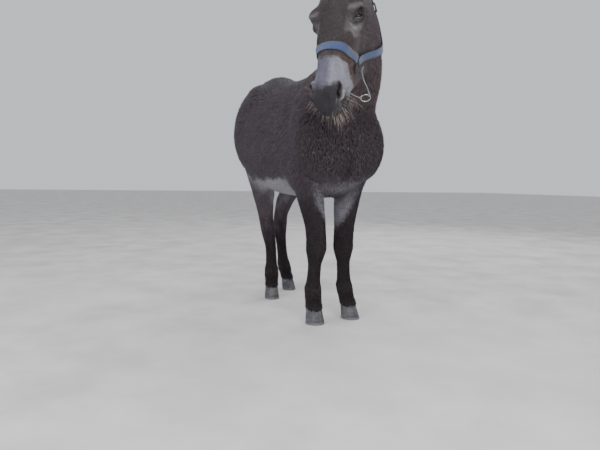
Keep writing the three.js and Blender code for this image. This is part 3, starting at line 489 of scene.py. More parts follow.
# place of each part in the list that flesh_parts gives; the four legs start at FIRST_LEG
TRUNK_PART, NECK_PART, HEAD_PART, FIRST_LEG, TAIL_PART = 0, 1, 2, 3, 7
FLESH_PARTS = 8
COAT_DEPTH = np.array([12.0, 11.0, 3.2, 7.0, 7.0, 7.0, 7.0, 4.0])  # mm over each part
FOOT_DEPTH = 3.5
MUZZLE_DEPTH = 1.2
JAW_DEPTH = 8.0


def flesh_parts(p):
    """The outline's field and the distances of its parts, in the order of the places above."""
    left = p[:, 0] > 0
    folded = np.stack([np.abs(p[:, 0]), p[:, 1], p[:, 2]], axis=1)
    trunk = trunk_field(p)
    for centre, radii, tilt in FRONT_MUSCLES:
        trunk = blend(trunk, leaning(folded, centre, radii, tilt), 55)
    trunk = blend(trunk, haunch_field(folded, np.where(left, 0, STRIDE)), 60)
    neck = within(p, (-420, -980, 560), (300, 80, 1600), neck_field)
    d = blend(trunk, neck, 75)
    legs = []
    for leg in LEGS:
        front, left_leg = leg.startswith("front"), leg.endswith("left")
        low = (-20 if left_leg else -400, -620 if front else -80, -60)
        high = (400 if left_leg else 20, 0 if front else 760, 1000)
        legs.append(within(p, low, high, lambda q, leg=leg: leg_field(q, leg)))
        d = np.where(left == left_leg, blend(d, legs[-1], 34), d)
    head = within(p, (-480, -1020, 720), (180, -380, 1520), head_field)
    d = blend(d, head, 46)
    tail = within(p, (-150, 330, 500), (150, 720, 1180), tail_field)
    return d, [trunk, neck, head, *legs, tail]


def part_weights(parts):
    """Share of each part at a point: exp(-distance / 22), scaled to sum to 1."""
    nearness = np.exp(-(np.array(parts) - np.min(parts, axis=0)) / 22)
    return nearness / nearness.sum(axis=0)


def coat_depth(p, weights):
    """Depth of coat: each part's own, thinner down the legs and on the muzzle, longer on the jaw."""
    depth = np.repeat(COAT_DEPTH[:, None], len(p), axis=1)
    leg = FOOT_DEPTH + (COAT_DEPTH[FIRST_LEG] - FOOT_DEPTH) * soft(p[:, 2], 180, 560)
    depth[FIRST_LEG:TAIL_PART] = leg
    q = to_head(p)
    muzzle = soft(q[:, 0], 290, 350)
    jaw = soft(-q[:, 2], 150, 215) * (1 - muzzle)
    face = depth[HEAD_PART] + (JAW_DEPTH - COAT_DEPTH[HEAD_PART]) * jaw
    face = face + (MUZZLE_DEPTH - face) * muzzle
    at_eye = bump(np.linalg.norm(folded_head(q) - EYE, axis=1), 0, 34)
    depth[HEAD_PART] = face * (1 - 0.7 * at_eye)
    return (weights * depth).sum(axis=0)


def body_grooves(p):
    """How far the skin sinks between the breasts, between the buttocks and along the tendons."""
    chest = 9 * bump(p[:, 0], 12, 15) * soft(-p[:, 1], 400, 470) * soft(p[:, 2], 600, 680)
    chest *= 1 - soft(p[:, 2], 800, 880)
    rump = 16 * bump(p[:, 0], 0, 15) * soft(p[:, 1], 430, 500) * (1 - soft(p[:, 2], 960, 1010))
    return chest + rump


def tendon_grooves(p, parts):
    """A shallow channel between bone and tendon on both sides of each cannon."""
    sunk = np.zeros(len(p))
    for i, leg in enumerate(LEGS):
        near = parts[FIRST_LEG + i] < 30
        (_, y), _, _ = AXES[leg](p[near, 2])
        low, high = (175, 300) if leg.startswith("front") else (180, 320)
        span = soft(p[near, 2], low - 20, low + 20) * (1 - soft(p[near, 2], high - 20, high + 20))
        sunk[near] += 4.0 * bump(p[near, 1] - y, 9, 7) * span
    return sunk


def skin_field(p):
    """The outline sunk by the coat's depth, with the tail, grooves, lids, nostrils and lips."""
    d, parts = flesh_parts(p)
    d = blend(d, parts[TAIL_PART], 26)
    d = d + coat_depth(p, part_weights(parts)) + body_grooves(p) + tendon_grooves(p, parts)
    d = face_details(p, d)
    return np.maximum(d, CORONET - 6 - p[:, 2])


def gradient(field, p, step=0.6):
    """Central differences of the field along x, y and z."""
    moves = np.eye(3) * step
    return np.stack([field(p + m) - field(p - m) for m in moves], axis=1) / (2 * step)


# ------------------------------------------------------------------------------ skin mesh
FOCUS = from_head((235, 0, -80))  # middle of the finest cells
FINE = 0.32  # size of the face's cells, as a share of the body's
FINE_REACH = 1000.0
FINE_EASE = 160.0
BLOCK = 4


def warp(q):
    """Grid space to body space: radii from the head grow by FINE near it, then one for one."""
    d = q - FOCUS
    r = np.maximum(np.linalg.norm(d, axis=1), 1e-6)
    past = (np.hypot(r - FINE_REACH, FINE_EASE) + r - FINE_REACH) / 2
    start = (np.hypot(FINE_REACH, FINE_EASE) - FINE_REACH) / 2
    return FOCUS + d * ((FINE * r + (1 - FINE) * (past - start)) / r)[:, None]


def unwarp_reach(low, high):
    """Corners of the grid-space box whose warp covers a body-space box, by bisection on radii."""
    corners = np.array([[x, y, z] for x in (low[0], high[0]) for y in (low[1], high[1])
                        for z in (low[2], high[2])], float)
    middles = (np.array(low, float) + np.array(high, float)) / 2
    faces = [np.where(np.arange(3) == axis, side, middles)
             for axis in range(3) for side in (np.array(low, float), np.array(high, float))]
    points = np.vstack([corners, faces])
    direction = unit(points - FOCUS)
    target = np.linalg.norm(points - FOCUS, axis=1)
    short, long = np.zeros(len(points)), np.full(len(points), 4000.0)
    for _ in range(30):
        middle = (short + long) / 2
        reached = np.linalg.norm(warp(FOCUS + direction * middle[:, None]) - FOCUS, axis=1)
        short = np.where(reached < target, middle, short)
        long = np.where(reached < target, long, middle)
    grid = FOCUS + direction * long[:, None]
    return grid.min(axis=0), grid.max(axis=0)


def in_chunks(field, p, size=300_000):
    """field(p), a part at a time, to keep the arrays small."""
    return np.concatenate([field(p[i:i + size]) for i in range(0, len(p), size)])


CELL_CORNERS = np.array([[c & 1, c >> 1 & 1, c >> 2] for c in range(8)])
CELL_EDGES = [(c, c + (1 << axis)) for axis in range(3) for c in range(8) if not c >> axis & 1]


def net_mesh(field, low, high, cell):
    """Surface nets on a warped grid: one vertex in each cell that the surface crosses, one quad for
    each crossed grid edge. Only blocks of cells near the surface are worked out in full."""
    grid_low, grid_high = unwarp_reach(low, high)
    blocks = np.ceil((grid_high - grid_low) / (cell * BLOCK)).astype(int)
    at = np.indices(blocks).reshape(3, -1).T
    middle = in_chunks(field, warp(grid_low + (at + 0.5) * BLOCK * cell))
    reach = BLOCK * cell * 0.87 * 1.35 + 22
    value = np.where(middle < 0, -FAR, FAR).astype(np.float32).reshape(blocks)
    for axis in range(3):
        value = np.repeat(value, BLOCK, axis=axis)
    value = np.pad(value, (0, 1), mode="edge")
    active = at[np.abs(middle) < reach]
    inside = np.indices((BLOCK + 1,) * 3).reshape(3, -1).T
    corners = (active[:, None, :] * BLOCK + inside[None]).reshape(-1, 3)
    flat = np.unique(np.ravel_multi_index(corners.T, value.shape))
    corners = np.stack(np.unravel_index(flat, value.shape), axis=1)
    value.reshape(-1)[flat] = in_chunks(field, warp(grid_low + corners * cell))

    solid = value < 0
    count = sum(solid[c[0]:solid.shape[0] - 1 + c[0], c[1]:solid.shape[1] - 1 + c[1],
                      c[2]:solid.shape[2] - 1 + c[2]].astype(np.int8) for c in CELL_CORNERS)
    cells = np.argwhere((count > 0) & (count < 8))
    corner = [value[tuple((cells + c).T)] for c in CELL_CORNERS]
    total, hits = np.zeros((len(cells), 3)), np.zeros(len(cells))
    for a, b in CELL_EDGES:
        crossed = (corner[a] < 0) != (corner[b] < 0)
        change = np.where(crossed, corner[a] - corner[b], 1)
        share = np.where(crossed, corner[a] / change, 0)[:, None]
        step = CELL_CORNERS[b] - CELL_CORNERS[a]
        total += crossed[:, None] * (CELL_CORNERS[a] + share * step)
        hits += crossed
    points = warp(grid_low + (cells + total / hits[:, None]) * cell)
    size = cell * (FINE + (1 - FINE) * soft(np.linalg.norm(points - FOCUS, axis=1), 200, 600))
    points = settle(field, points, size * 0.3)

    index = np.full(np.array(value.shape) - 1, -1, np.int32)
    index[tuple(cells.T)] = np.arange(len(cells))
    quads = []
    for axis in range(3):
        one, two = [(axis + 1) % 3, (axis + 2) % 3]
        first = [slice(1, -1)] * 3
        first[axis] = slice(0, -1)
        second = list(first)
        second[axis] = slice(1, None)
        here, there = solid[tuple(first)], solid[tuple(second)]
        edge = np.argwhere(here != there) + np.where(np.arange(3) == axis, 0, 1)
        turn = here[here != there]
        step_one, step_two = np.eye(3, dtype=int)[[one, two]]
        ring = [edge - step_one - step_two, edge - step_two, edge, edge - step_one]
        quad = np.stack([index[tuple(c.T)] for c in ring], axis=1)
        quad[~turn] = quad[~turn][:, ::-1]
        quads.append(quad)
    return points, np.vstack(quads)


def settle(field, points, reach, rounds=2):
    """Moves points onto the surface by Newton steps, each at most reach long."""
    for _ in range(rounds):
        slope = in_chunks(lambda p: gradient(field, p), points)
        value = in_chunks(field, points)
        step = value / np.maximum(rows_dot(slope, slope), 0.1)
        size = np.linalg.norm(slope, axis=1)
        step = np.clip(step * size, -reach, reach) / np.maximum(size, 1e-6)
        points = points - slope * step[:, None]
    return points


def ear_shell(side, t, angle, depth):
    """Point of an ear at share t along it, at an angle round its axis from the back of the shell,
    depth inside its outer face, in head coordinates."""
    along, facing, across = ear_axes(side)
    radius = ear_at(t)[0][0] - depth
    base = np.array(EAR_BASE) * (1, side, 1)
    sag = (EAR_BEND * np.sin(np.pi * t))[:, None]
    centre = base + along * (EAR_LENGTH * t)[:, None] - facing * sag
    return (centre + across * (radius * np.sin(angle))[:, None]
            - facing * (radius * np.cos(angle))[:, None])


EAR_BEND = 14.0
EAR_WALL = 5.5
EAR_SIDES = ((1, "left"), (-1, "right"))


def ear_axes(side):
    """Unit vectors along an ear, out of its opening and across it, in head coordinates."""
    along = unit(np.array([-0.95, 0.17 * side, 0.12]))
    outward = np.array([0, 0.75 * side, 1.0])
    facing = unit(np.cross(np.cross(along, outward), along))
    return along, facing, np.cross(along, facing)


def ear_mesh(side, rows=30, columns=15):
    """One ear as a closed shell: an outer sheet, an inner one, and a rounded edge between them.

    Each row is a loop: across the outer sheet from one edge to the other and back along the
    inner one. The lowest rows flare onto the head.
    """
    t = np.linspace(0, 0.985, rows)
    half = np.radians(ear_at(t)[0][1])
    wall = np.minimum(EAR_WALL, ear_at(t)[0][0] * 0.45)
    s = np.linspace(-1, 1, columns)
    around = np.concatenate([s, s[::-1]])
    inner = np.repeat([0, 1], columns)
    loops = [ear_shell(side, np.full(2 * columns, a), around * h, inner * w)
             for a, h, w in zip(t, half, wall)]
    loops = np.array(loops)
    body = from_head(loops)
    foot = from_head(ear_shell(side, np.full(2 * columns, 0.02), around * half[0], -9.0 * (1 - inner)))
    outer = inner == 0
    foot[outer] = settle(skin_field, foot[outer], 14.0, rounds=3)
    foot[outer] -= 1.5 * unit(gradient(skin_field, foot[outer]))
    body = np.concatenate([foot[None], body])
    count, width = body.shape[:2]
    ring = np.arange(width)
    nxt = (ring + 1) % width
    row = np.arange(count - 1)[:, None] * width
    quads = np.stack([row + ring, row + nxt, row + width + nxt, row + width + ring], axis=-1)
    share = np.concatenate([[0], t])[:, None] * np.ones(width)
    caps = [np.stack([ring[:columns - 1] + base,
                      width - 1 - ring[:columns - 1] + base,
                      width - 2 - ring[:columns - 1] + base,
                      ring[1:columns] + base], axis=1) for base in (0, (count - 1) * width)]
    if side > 0:
        quads, caps[1] = quads[..., ::-1], caps[1][:, ::-1]
    else:
        caps[0] = caps[0][:, ::-1]
    faces = np.vstack([quads.reshape(-1, 4), *caps])
    kind = np.tile(inner, count)
    return body.reshape(-1, 3), faces, share.reshape(-1), kind


# ------------------------------------------------------------------------------ lie of the coat
WHORL = 132.0  # u of the whorl on the forehead


def lie_of_coat(p, normal, weights):
    """Unit direction of the hair in the skin: each part's own, mixed by weight and laid flat."""
    x, y, z = p.T
    ones = np.ones(len(p))
    back = soft(z, 960, 1090)
    chest = soft(-y, 380, 470) * (1 - back)
    trunk = np.stack([0.2 * np.sign(x) * (1 - back), 0.8 * (1 - chest) + 0.1, -0.75 * (1 - back)
                      - 0.3 * chest], axis=1)
    trunk = unit(trunk)
    q = to_head(p)
    u_axis, v_axis, w_axis = HEAD
    forward = soft(q[:, 0], WHORL - 45, WHORL + 45) * 2 - 1
    cheek = soft(-q[:, 2], 20, 110)
    head = (u_axis * (forward * (1 - 0.6 * cheek))[:, None]
            + v_axis * (np.sign(q[:, 1]) * 0.35 * bump(q[:, 0], WHORL, 60))[:, None]
            - w_axis * (0.9 * cheek)[:, None])
    neck = np.stack([0 * x, 0.62 * ones, -0.85 * ones], axis=1)
    leg = np.stack([0 * x, 0.12 * ones, -ones], axis=1)
    tail = np.stack([0 * x, 0.15 * ones, -ones], axis=1)
    lie = (weights[TRUNK_PART][:, None] * trunk + weights[NECK_PART][:, None] * neck
           + weights[HEAD_PART][:, None] * unit(head)
           + weights[FIRST_LEG:TAIL_PART].sum(axis=0)[:, None] * leg
           + weights[TAIL_PART][:, None] * tail)
    return flat_on(lie, normal)


def flat_on(direction, normal):
    """The direction's share in the surface, at unit length."""
    return unit(direction - normal * rows_dot(direction, normal)[:, None])


def ripple(p, size, seed):
    """Smooth noise about -1 to 1: the mean of five sines in seeded directions, size mm apart."""
    rng = np.random.default_rng(seed)
    waves = unit(rng.normal(size=(5, 3))) * (2 * np.pi / size) * rng.uniform(0.7, 1.5, (5, 1))
    return np.sin(p @ waves.T + rng.uniform(0, 6.3, 5)).mean(axis=1) * 1.8


def speckle(cells, seed):
    """Evenly spread numbers 0 to 1, three for each whole-number cell, from a hash of it."""
    big = (cells.astype(np.int64) @ np.array([73856093, 19349663, 83492791])) ^ (seed * 7919)
    return np.stack([np.modf(np.abs(np.sin(big % 100003 * k)) * 43758.5)[0]
                     for k in (12.9898, 78.233, 37.719)], axis=1)


# ------------------------------------------------------------------------------ markings
# Linear colours of the coat, and of the painted shade in its hollows
FLANK_BROWN = (0.077, 0.060, 0.073)
CHEST_BROWN = (0.058, 0.045, 0.052)
NECK_BROWN = (0.118, 0.086, 0.090)
BACK_GREY = (0.063, 0.053, 0.059)
BELLY_PALE = (0.37, 0.36, 0.40)
LEG_DARK = (0.0215, 0.0155, 0.0175)
ARM_DARK = (0.031, 0.022, 0.029)
GASKIN_GREY = (0.115, 0.090, 0.102)
FACE_GREY = (0.066, 0.055, 0.056)
CHEEK_GREY = (0.130, 0.109, 0.115)
MUZZLE_PALE = (0.44, 0.44, 0.49)
MUZZLE_TOP = (0.150, 0.150, 0.197)
RUFOUS = (0.140, 0.090, 0.072)
CHARCOAL = (0.040, 0.034, 0.038)
CHIN_RED = (0.108, 0.062, 0.063)
ORBIT_PALE = (0.245, 0.228, 0.232)
# painted shade of the lid fold round the eye
SOCKET_SHADE = (0.072, 0.068, 0.074)
LID_DARK = (0.044, 0.040, 0.043)
EAR_INSIDE = (0.125, 0.112, 0.105)
STRIPE_DARK = (0.022, 0.018, 0.018)
# painted shade: near black for the nostrils' pits and the line between the lips
HOLLOW_SHADE = (0.012, 0.010, 0.011)


def paint(colour, new, mask):
    """Moves each row of colour towards new by its mask."""
    return colour + (np.array(new) - colour) * np.clip(mask, 0, 1)[:, None]


def markings(p, normal, weights, ear):
    """Linear colour of the coat at points: browns by part, pale belly, muzzle and eye rings, with painted
    shade in the nostrils, between the lips and round the eyes.
    """
    x, y, z = p.T
    q = to_head(p)
    u, v, w = q.T
    folded = folded_head(q)
    rough = ripple(p, 46, 3)
    fine = ripple(p, 17, 4)
    colour = np.tile(FLANK_BROWN, (len(p), 1))
    colour = paint(colour, BACK_GREY, soft(z + 20 * rough, 1000, 1110) * weights[TRUNK_PART])
    front = soft(-y + 20 * rough, 340, 430) * (1 - soft(z, 900, 1040))
    colour = paint(colour, CHEST_BROWN, front)
    colour = paint(colour, NECK_BROWN, weights[NECK_PART] * soft(z, 860, 1000))

    legs = weights[FIRST_LEG:TAIL_PART].sum(axis=0)
    hind = weights[FIRST_LEG + 2:TAIL_PART].sum(axis=0)
    fore = legs - hind
    colour = paint(colour, ARM_DARK, fore * (1 - soft(z + 25 * rough, 560, 690)))
    belly_line = 648 + 62 * soft(y, 110, 235) + 7 * rough + 4 * fine
    span = soft(y, -300, -250) * (1 - soft(y + 0.2 * z, 390, 480))
    belly = (1 - soft(z, belly_line - 15, belly_line + 13)) * span
    under = soft(-normal[:, 2], 0.0, 0.35)
    colour = paint(colour, BELLY_PALE, belly * (1 - legs) * np.maximum(under, 0.85))
    colour = paint(colour, GASKIN_GREY, hind * soft(z + 20 * rough, 300, 480)
                   * (1 - soft(z, 640, 720)))
    colour = paint(colour, LEG_DARK, hind * (1 - soft(z + 30 * rough, 250, 520)))
    colour = paint(colour, LEG_DARK, fore * (1 - soft(z + 30 * rough, 300, 600)))
    for i, leg in enumerate(LEGS):
        (axis_x, _), _, _ = AXES[leg](z)
        inward = -(x - axis_x) * np.sign(axis_x)
        own = weights[FIRST_LEG + i]
        if leg.startswith("front"):
            lowest = 535 - 2.4 * np.clip(inward, 0, 50) + 12 * fine
            pale = soft(inward, -16, 18) * soft(z, lowest - 35, lowest + 35)
            colour = paint(colour, BELLY_PALE, 0.62 * own * pale * (1 - soft(z, 640, 720)))
        else:
            pale = soft(inward, 0, 44) * soft(z + 30 * rough, 440, 600)
            colour = paint(colour, BELLY_PALE, 0.8 * own * pale)
    between = bump(x, 30, 115) * soft(-y, 330, 420) * (1 - soft(z + 14 * fine, 600, 668))
    colour = paint(colour, BELLY_PALE, 0.62 * between * (1 - 0.5 * legs))
    spine = bump(x, 0, 15 + 3 * fine) * soft(normal[:, 2], 0.5, 0.8) * soft(y, -300, -200)
    cross = bump(y, -262 - 0.08 * np.abs(x), 17) * soft(z, 830, 990) * soft(-np.abs(x), -190, -120)
    colour = paint(colour, STRIPE_DARK, 0.7 * np.maximum(spine, cross) * weights[TRUNK_PART])

    head = weights[HEAD_PART] * (ear == 0)
    colour = paint(colour, CHEEK_GREY, head)
    colour = paint(colour, FACE_GREY, head * soft(w, -90, -30))
    side_drop = 0.42 * np.maximum(-w - 40, 0)
    edge = u - 322 - side_drop + 9 * rough + 6 * fine
    colour = paint(colour, RUFOUS, head * bump(edge, -6, 20) * soft(-w, -20, 60) * 0.9)
    pale = np.array(MUZZLE_PALE) - (np.array(MUZZLE_PALE) - MUZZLE_TOP) * (
        np.clip(0.1 + 0.95 * bump(v, -8, 42) + 0.2 * rough + 0.1 * fine, 0, 1))[:, None]
    colour = paint(colour, pale, head * soft(edge, -9, 12))
    facing = soft(normal @ HEAD[0] + 0.10 * fine, 0.36, 0.66) * soft(u, 404, 446)
    reach = np.abs(v) + 0.45 * np.maximum(u - 442, 0) + 2 * fine
    snout = soft(u + 0.35 * np.abs(v) + 5 * rough + 4 * fine, 412, 452) * (1 - soft(reach, 56, 67))
    colour = paint(colour, CHARCOAL, head * (0.96 + 0.03 * rough)
                   * np.maximum(facing * (1 - soft(np.abs(v), 44, 56)), snout))
    chin = soft(-w + 6 * fine, 94, 114) * soft(u, 396, 432) * (1 - soft(np.abs(v), 26, 44))
    colour = paint(colour, CHIN_RED, head * chin)
    pit = nostril(folded)
    colour = paint(colour, CHARCOAL, head * (1 - soft(pit, 2, 9)))
    # painted shade: the nostril's pit and the line between the lips painted near black
    colour = paint(colour, HOLLOW_SHADE, head * (1 - soft(pit, -4, 1)))
    lips = np.abs(mouth_height(q)) < 3
    colour = paint(colour, HOLLOW_SHADE, head * lips * (u > MOUTH_CORNER) * 0.8)

    d = folded - EYE
    a, b = d @ EYE_ALONG, d @ EYE_UP - LID_SHIFT
    ring = np.hypot(a, b * 1.25)
    near = head * (np.abs(d @ EYE_OUT) < 45) * soft(np.abs(v), 48, 62)
    socket = np.hypot(u - 186, (w + 22) * 1.1)
    # painted shade: the socket inside the pale ring darkened as the shadow of the lid fold
    colour = paint(colour, SOCKET_SHADE, near * (1 - soft(socket, 22, 33)) * 0.8)
    colour = paint(colour, ORBIT_PALE, near * bump(socket, 36, 6) * (0.55 + 0.10 * rough))
    patch = ellipsoid(folded, (214, 80, -46), (20, 34, 21))
    colour = paint(colour, ORBIT_PALE, head * (1 - soft(patch + 4 * fine, -8, 12)))
    crease = ellipsoid(folded, (206, 62, -16), (30, 11, 9))
    colour = paint(colour, ORBIT_PALE, head * (1 - soft(crease + 4 * fine, -4, 10)) * 0.35)
    colour = paint(colour, LID_DARK, near * (1 - soft(ring, 18, 25)))
    band = bump(np.abs(v), 64, 10) * soft(u, 150, 190) * (1 - soft(u, 300, 340)) * soft(w, -110, -60)
    colour = paint(colour, RUFOUS, head * band * 0.1)

    inside, outside = ear >= 2, (ear > 0) & (ear < 2)
    tip = soft(np.where(inside, ear - 2, ear), 0.72, 0.9)
    colour = paint(colour, FACE_GREY, outside * 0.8)
    colour = paint(colour, EAR_INSIDE, inside * 1.0)
    colour = paint(colour, STRIPE_DARK, (inside | outside) * tip)
    return colour * (1 + 0.05 * rough + 0.05 * fine)[:, None]


# ------------------------------------------------------------------------------ skin surface
SKIN_CELL = 11.8
SKIN_LOW, SKIN_HIGH = (-300, -860, 50), (270, 640, 1420)


@lru_cache(maxsize=1)
def skin_surface():
    """The skin's points, faces and what the coat needs to know at each point.

    Returns a dict with points, quads, normal, lie, depth, weights (one row for each flesh part)
    and ear: 0 off the ears, their share plus a little outside them, and 2 more inside them.
    """
    points, quads = net_mesh(skin_field, SKIN_LOW, SKIN_HIGH, SKIN_CELL)
    slope = in_chunks(lambda p: gradient(skin_field, p), points)
    normal = unit(slope)
    _, parts = flesh_parts(points)
    weights = part_weights(parts)
    depth = coat_depth(points, weights)
    lie = lie_of_coat(points, normal, weights)
    ear = np.zeros(len(points))
    all_points, all_faces, normals, lies = [points], [quads], [normal], [lie]
    ears, count = [ear], len(points)
    for side, _name in EAR_SIDES:
        shell, faces, share, kind = ear_mesh(side)
        corner = shell[faces]
        flat = np.cross(corner[:, 2] - corner[:, 0], corner[:, 3] - corner[:, 1])
        out = np.zeros_like(shell)
        for k in range(4):
            np.add.at(out, faces[:, k], flat)
        out = unit(out)
        along = ear_axes(side)[0] @ HEAD
        all_points.append(shell)
        all_faces.append(faces + count)
        normals.append(out)
        lies.append(flat_on(np.tile(along, (len(shell), 1)), out))
        ears.append(share + 0.01 + 2 * kind)
        count += len(shell)
    more = count - len(points)
    head = np.zeros((FLESH_PARTS, more))
    head[HEAD_PART] = 1
    return {
        "points": np.vstack(all_points), "quads": np.vstack(all_faces),
        "normal": np.vstack(normals), "lie": np.vstack(lies),
        "depth": np.concatenate([depth, np.full(more, 1.6)]),
        "weights": np.hstack([weights, head]), "ear": np.concatenate(ears),
    }


# ------------------------------------------------------------------------------ mesh pieces
def make_mesh(name, points, faces, smooth=True, attributes=None, uvs=None):
    """A mesh object at the origin, from body points and arrays of faces of one size each.

    attributes holds arrays with a row for each point: 3 numbers for a vector or 4 for a colour.
    uvs holds arrays with a row of 2 for each point.
    """
    groups = faces if isinstance(faces, list) else [faces]
    groups = [np.asarray(g) for g in groups if len(g)]
    corners = np.concatenate([g.reshape(-1) for g in groups])
    sizes = np.concatenate([np.full(len(g), g.shape[1]) for g in groups])
    mesh = bpy.data.meshes.new(name)
    mesh.vertices.add(len(points))
    mesh.vertices.foreach_set("co", to_world(points).astype(np.float32).reshape(-1))
    mesh.loops.add(len(corners))
    mesh.loops.foreach_set("vertex_index", corners.astype(np.int32))
    mesh.polygons.add(len(sizes))
    starts = np.concatenate([[0], np.cumsum(sizes)[:-1]])
    mesh.polygons.foreach_set("loop_start", starts.astype(np.int32))
    mesh.polygons.foreach_set("use_smooth", np.full(len(sizes), smooth))
    mesh.update(calc_edges=True)
    for label, values in (attributes or {}).items():
        kind, key = (("FLOAT_COLOR", "color") if values.shape[1] == 4
                     else ("FLOAT_VECTOR", "vector"))
        layer = mesh.attributes.new(label, kind, "POINT")
        layer.data.foreach_set(key, values.astype(np.float32).reshape(-1))
    for label, values in (uvs or {}).items():
        layer = mesh.uv_layers.new(name=label)
        layer.data.foreach_set("uv", values[corners].astype(np.float32).reshape(-1))
    obj = bpy.data.objects.new(name, mesh)
    bpy.context.scene.collection.objects.link(obj)
    return obj


def make_piece(name, points, faces, slot, material, stands_for=(), **more):
    """A mesh that belongs to the donkey: it rides on its one body and has a finish."""
    obj = make_mesh(name, points, faces, **more)
    obj.data.materials.append(material)
    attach(obj, "root")
    if stands_for:
        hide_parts(*stands_for)
    return obj


def with_alpha(colour):
    """Colour rows with a fourth column of ones."""
    return np.hstack([colour, np.ones((len(colour), 1))])


def strands(spines, wide, high, up):
    """Closed tapering strands, all with as many stations as spines has columns.

    spines is (count, stations, 3), and its first and last stations are single points. At the others
    a triangle stands across the strand: half the width to each side, and the ridge at the height
    along up. Returns points, triangles, and (across, along, strand number) for each point.
    """
    count, stations, _ = spines.shape
    rings = stations - 2
    ahead = unit(spines[:, 2:] - spines[:, :-2])
    up = unit(up - ahead * rows_dot(up, ahead)[..., None])
    side = np.cross(ahead, up)
    middle = spines[:, 1:-1]
    right = middle + side * wide[..., None]
    ridge = middle + up * high[..., None]
    left = middle - side * wide[..., None]
    ring = np.stack([right, ridge, left], axis=2).reshape(count, 3 * rings, 3)
    points = np.concatenate([spines[:, :1], ring, spines[:, -1:]], axis=1)
    per = 3 * rings + 2
    faces = [(0, 1, 2), (0, 2, 3), (0, 3, 1)]
    for r in range(rings - 1):
        low = 1 + 3 * r
        for a, b in ((0, 1), (1, 2), (2, 0)):
            faces += [(low + a, low + 3 + a, low + 3 + b), (low + a, low + 3 + b, low + b)]
    last, tip = 1 + 3 * (rings - 1), per - 1
    faces += [(last + a, tip, last + b) for a, b in ((0, 1), (1, 2), (2, 0))]
    faces = np.array(faces)[None] + (np.arange(count) * per)[:, None, None]
    share = np.repeat(np.arange(1, stations - 1) / (stations - 1), 3)
    across = np.concatenate([[0], np.tile([1, 0, -1], rings), [0]])
    along = np.concatenate([[0], share, [1]])
    lock = np.stack([np.tile(across, count), np.tile(along, count),
                     np.repeat(np.arange(count), per)], axis=1)
    return points.reshape(-1, 3), faces.reshape(-1, 3), lock


# ------------------------------------------------------------------------------ coat
# corners of each chart on the coat's own unwrap: low u, low v, high u, high v
CHARTS = {
    "trunk": (0.02, 0.02, 0.49, 0.60), "neck": (0.51, 0.02, 0.98, 0.30),
    "head": (0.51, 0.33, 0.98, 0.66), "front_left": (0.02, 0.69, 0.24, 0.98),
    "front_right": (0.26, 0.69, 0.49, 0.98), "hind_left": (0.51, 0.69, 0.74, 0.98),
    "hind_right": (0.76, 0.69, 0.98, 0.98), "tail": (0.02, 0.62, 0.24, 0.67),
    "ears": (0.26, 0.62, 0.49, 0.67),
}
TUFT_PATCH = 0.003


def turn_share(a, b):
    """Angle of (a, b) as a share of a full turn, 0 to 1."""
    return np.arctan2(a, b) / (2 * np.pi) + 0.5


def unwrap(p, part, ear):
    """Each root's place on the skin's unwrap: round and along its part, in the part's chart."""
    q = to_head(p)
    t = np.clip(nearest(NECK_CURVE, p), 0, 1)
    centre, side, crest, _ = neck_frame(t)
    d = p - centre
    share = np.zeros((len(p), 2))
    corner = np.zeros((len(p), 4))

    def place(label, chosen, around, along):
        share[chosen] = np.stack([around, along], axis=1)[chosen]
        corner[chosen] = CHARTS[label]

    on_ear = ear > 0
    place("trunk", part == TRUNK_PART, turn_share(p[:, 0], p[:, 2] - 830), (p[:, 1] + 530) / 1070)
    place("neck", part == NECK_PART, turn_share(rows_dot(d, side), rows_dot(d, crest)), t)
    place("head", (part == HEAD_PART) & ~on_ear, turn_share(q[:, 1], q[:, 2] + 95),
          (q[:, 0] + 60) / 570)
    for i, leg in enumerate(LEGS):
        (x, y), _, _ = AXES[leg](p[:, 2])
        place(leg, part == FIRST_LEG + i, turn_share(p[:, 0] - x, p[:, 1] - y), p[:, 2] / 760)
    place("tail", part == TAIL_PART, turn_share(p[:, 0], p[:, 1] - 560), (p[:, 2] - 600) / 460)
    place("ears", on_ear, 0.25 * np.mod(ear, 2) + 0.5 * (ear >= 2) + 0.25 * (q[:, 1] > 0),
          turn_share(p[:, 0], p[:, 1]))
    share = np.clip(share, 0, 1)
    return corner[:, :2] + share * (corner[:, 2:] - corner[:, :2])


def tuft_density(surface):
    """Tufts for each square millimetre: most on the muzzle and face, fewest on the trunk."""
    q = to_head(surface["points"])
    weights = surface["weights"]
    legs = weights[FIRST_LEG:TAIL_PART].sum(axis=0) * (1 - soft(surface["points"][:, 2], 480, 700))
    head = weights[HEAD_PART]
    muzzle = head * soft(q[:, 0], 300, 360)
    density = 0.042 + 0.045 * legs + 0.22 * head + 0.12 * muzzle
    density = np.where(surface["ear"] > 0, 0.12, density)
    ball = np.linalg.norm(folded_head(q) - EYE, axis=1)
    return density * (ball > EYE_RADIUS + 1.5) * (face_bareness(q) > 0)


def face_bareness(q):
    """Distance from where no hair grows: inside the nostrils, between the lips, at the lids' edges."""
    folded = folded_head(q)
    pit = nostril(folded)
    lips = np.maximum(np.abs(mouth_height(q)) - 2.2, MOUTH_CORNER - q[:, 0])
    return np.minimum(np.minimum(pit, lips), eye_opening(folded) - 2.5)


def bake_patches(lock):
    """A patch for each lock on a square grid of its own, for hair that hangs off the skin."""
    number = np.cumsum(lock[:, 1] == 0) - 1
    side = int(np.ceil(np.sqrt(number[-1] + 1)))
    place = (np.stack([number % side, number // side], axis=1) + 0.5) / side
    return place + np.stack([lock[:, 0] * 0.35, lock[:, 1] - 0.5], axis=1) * TUFT_PATCH


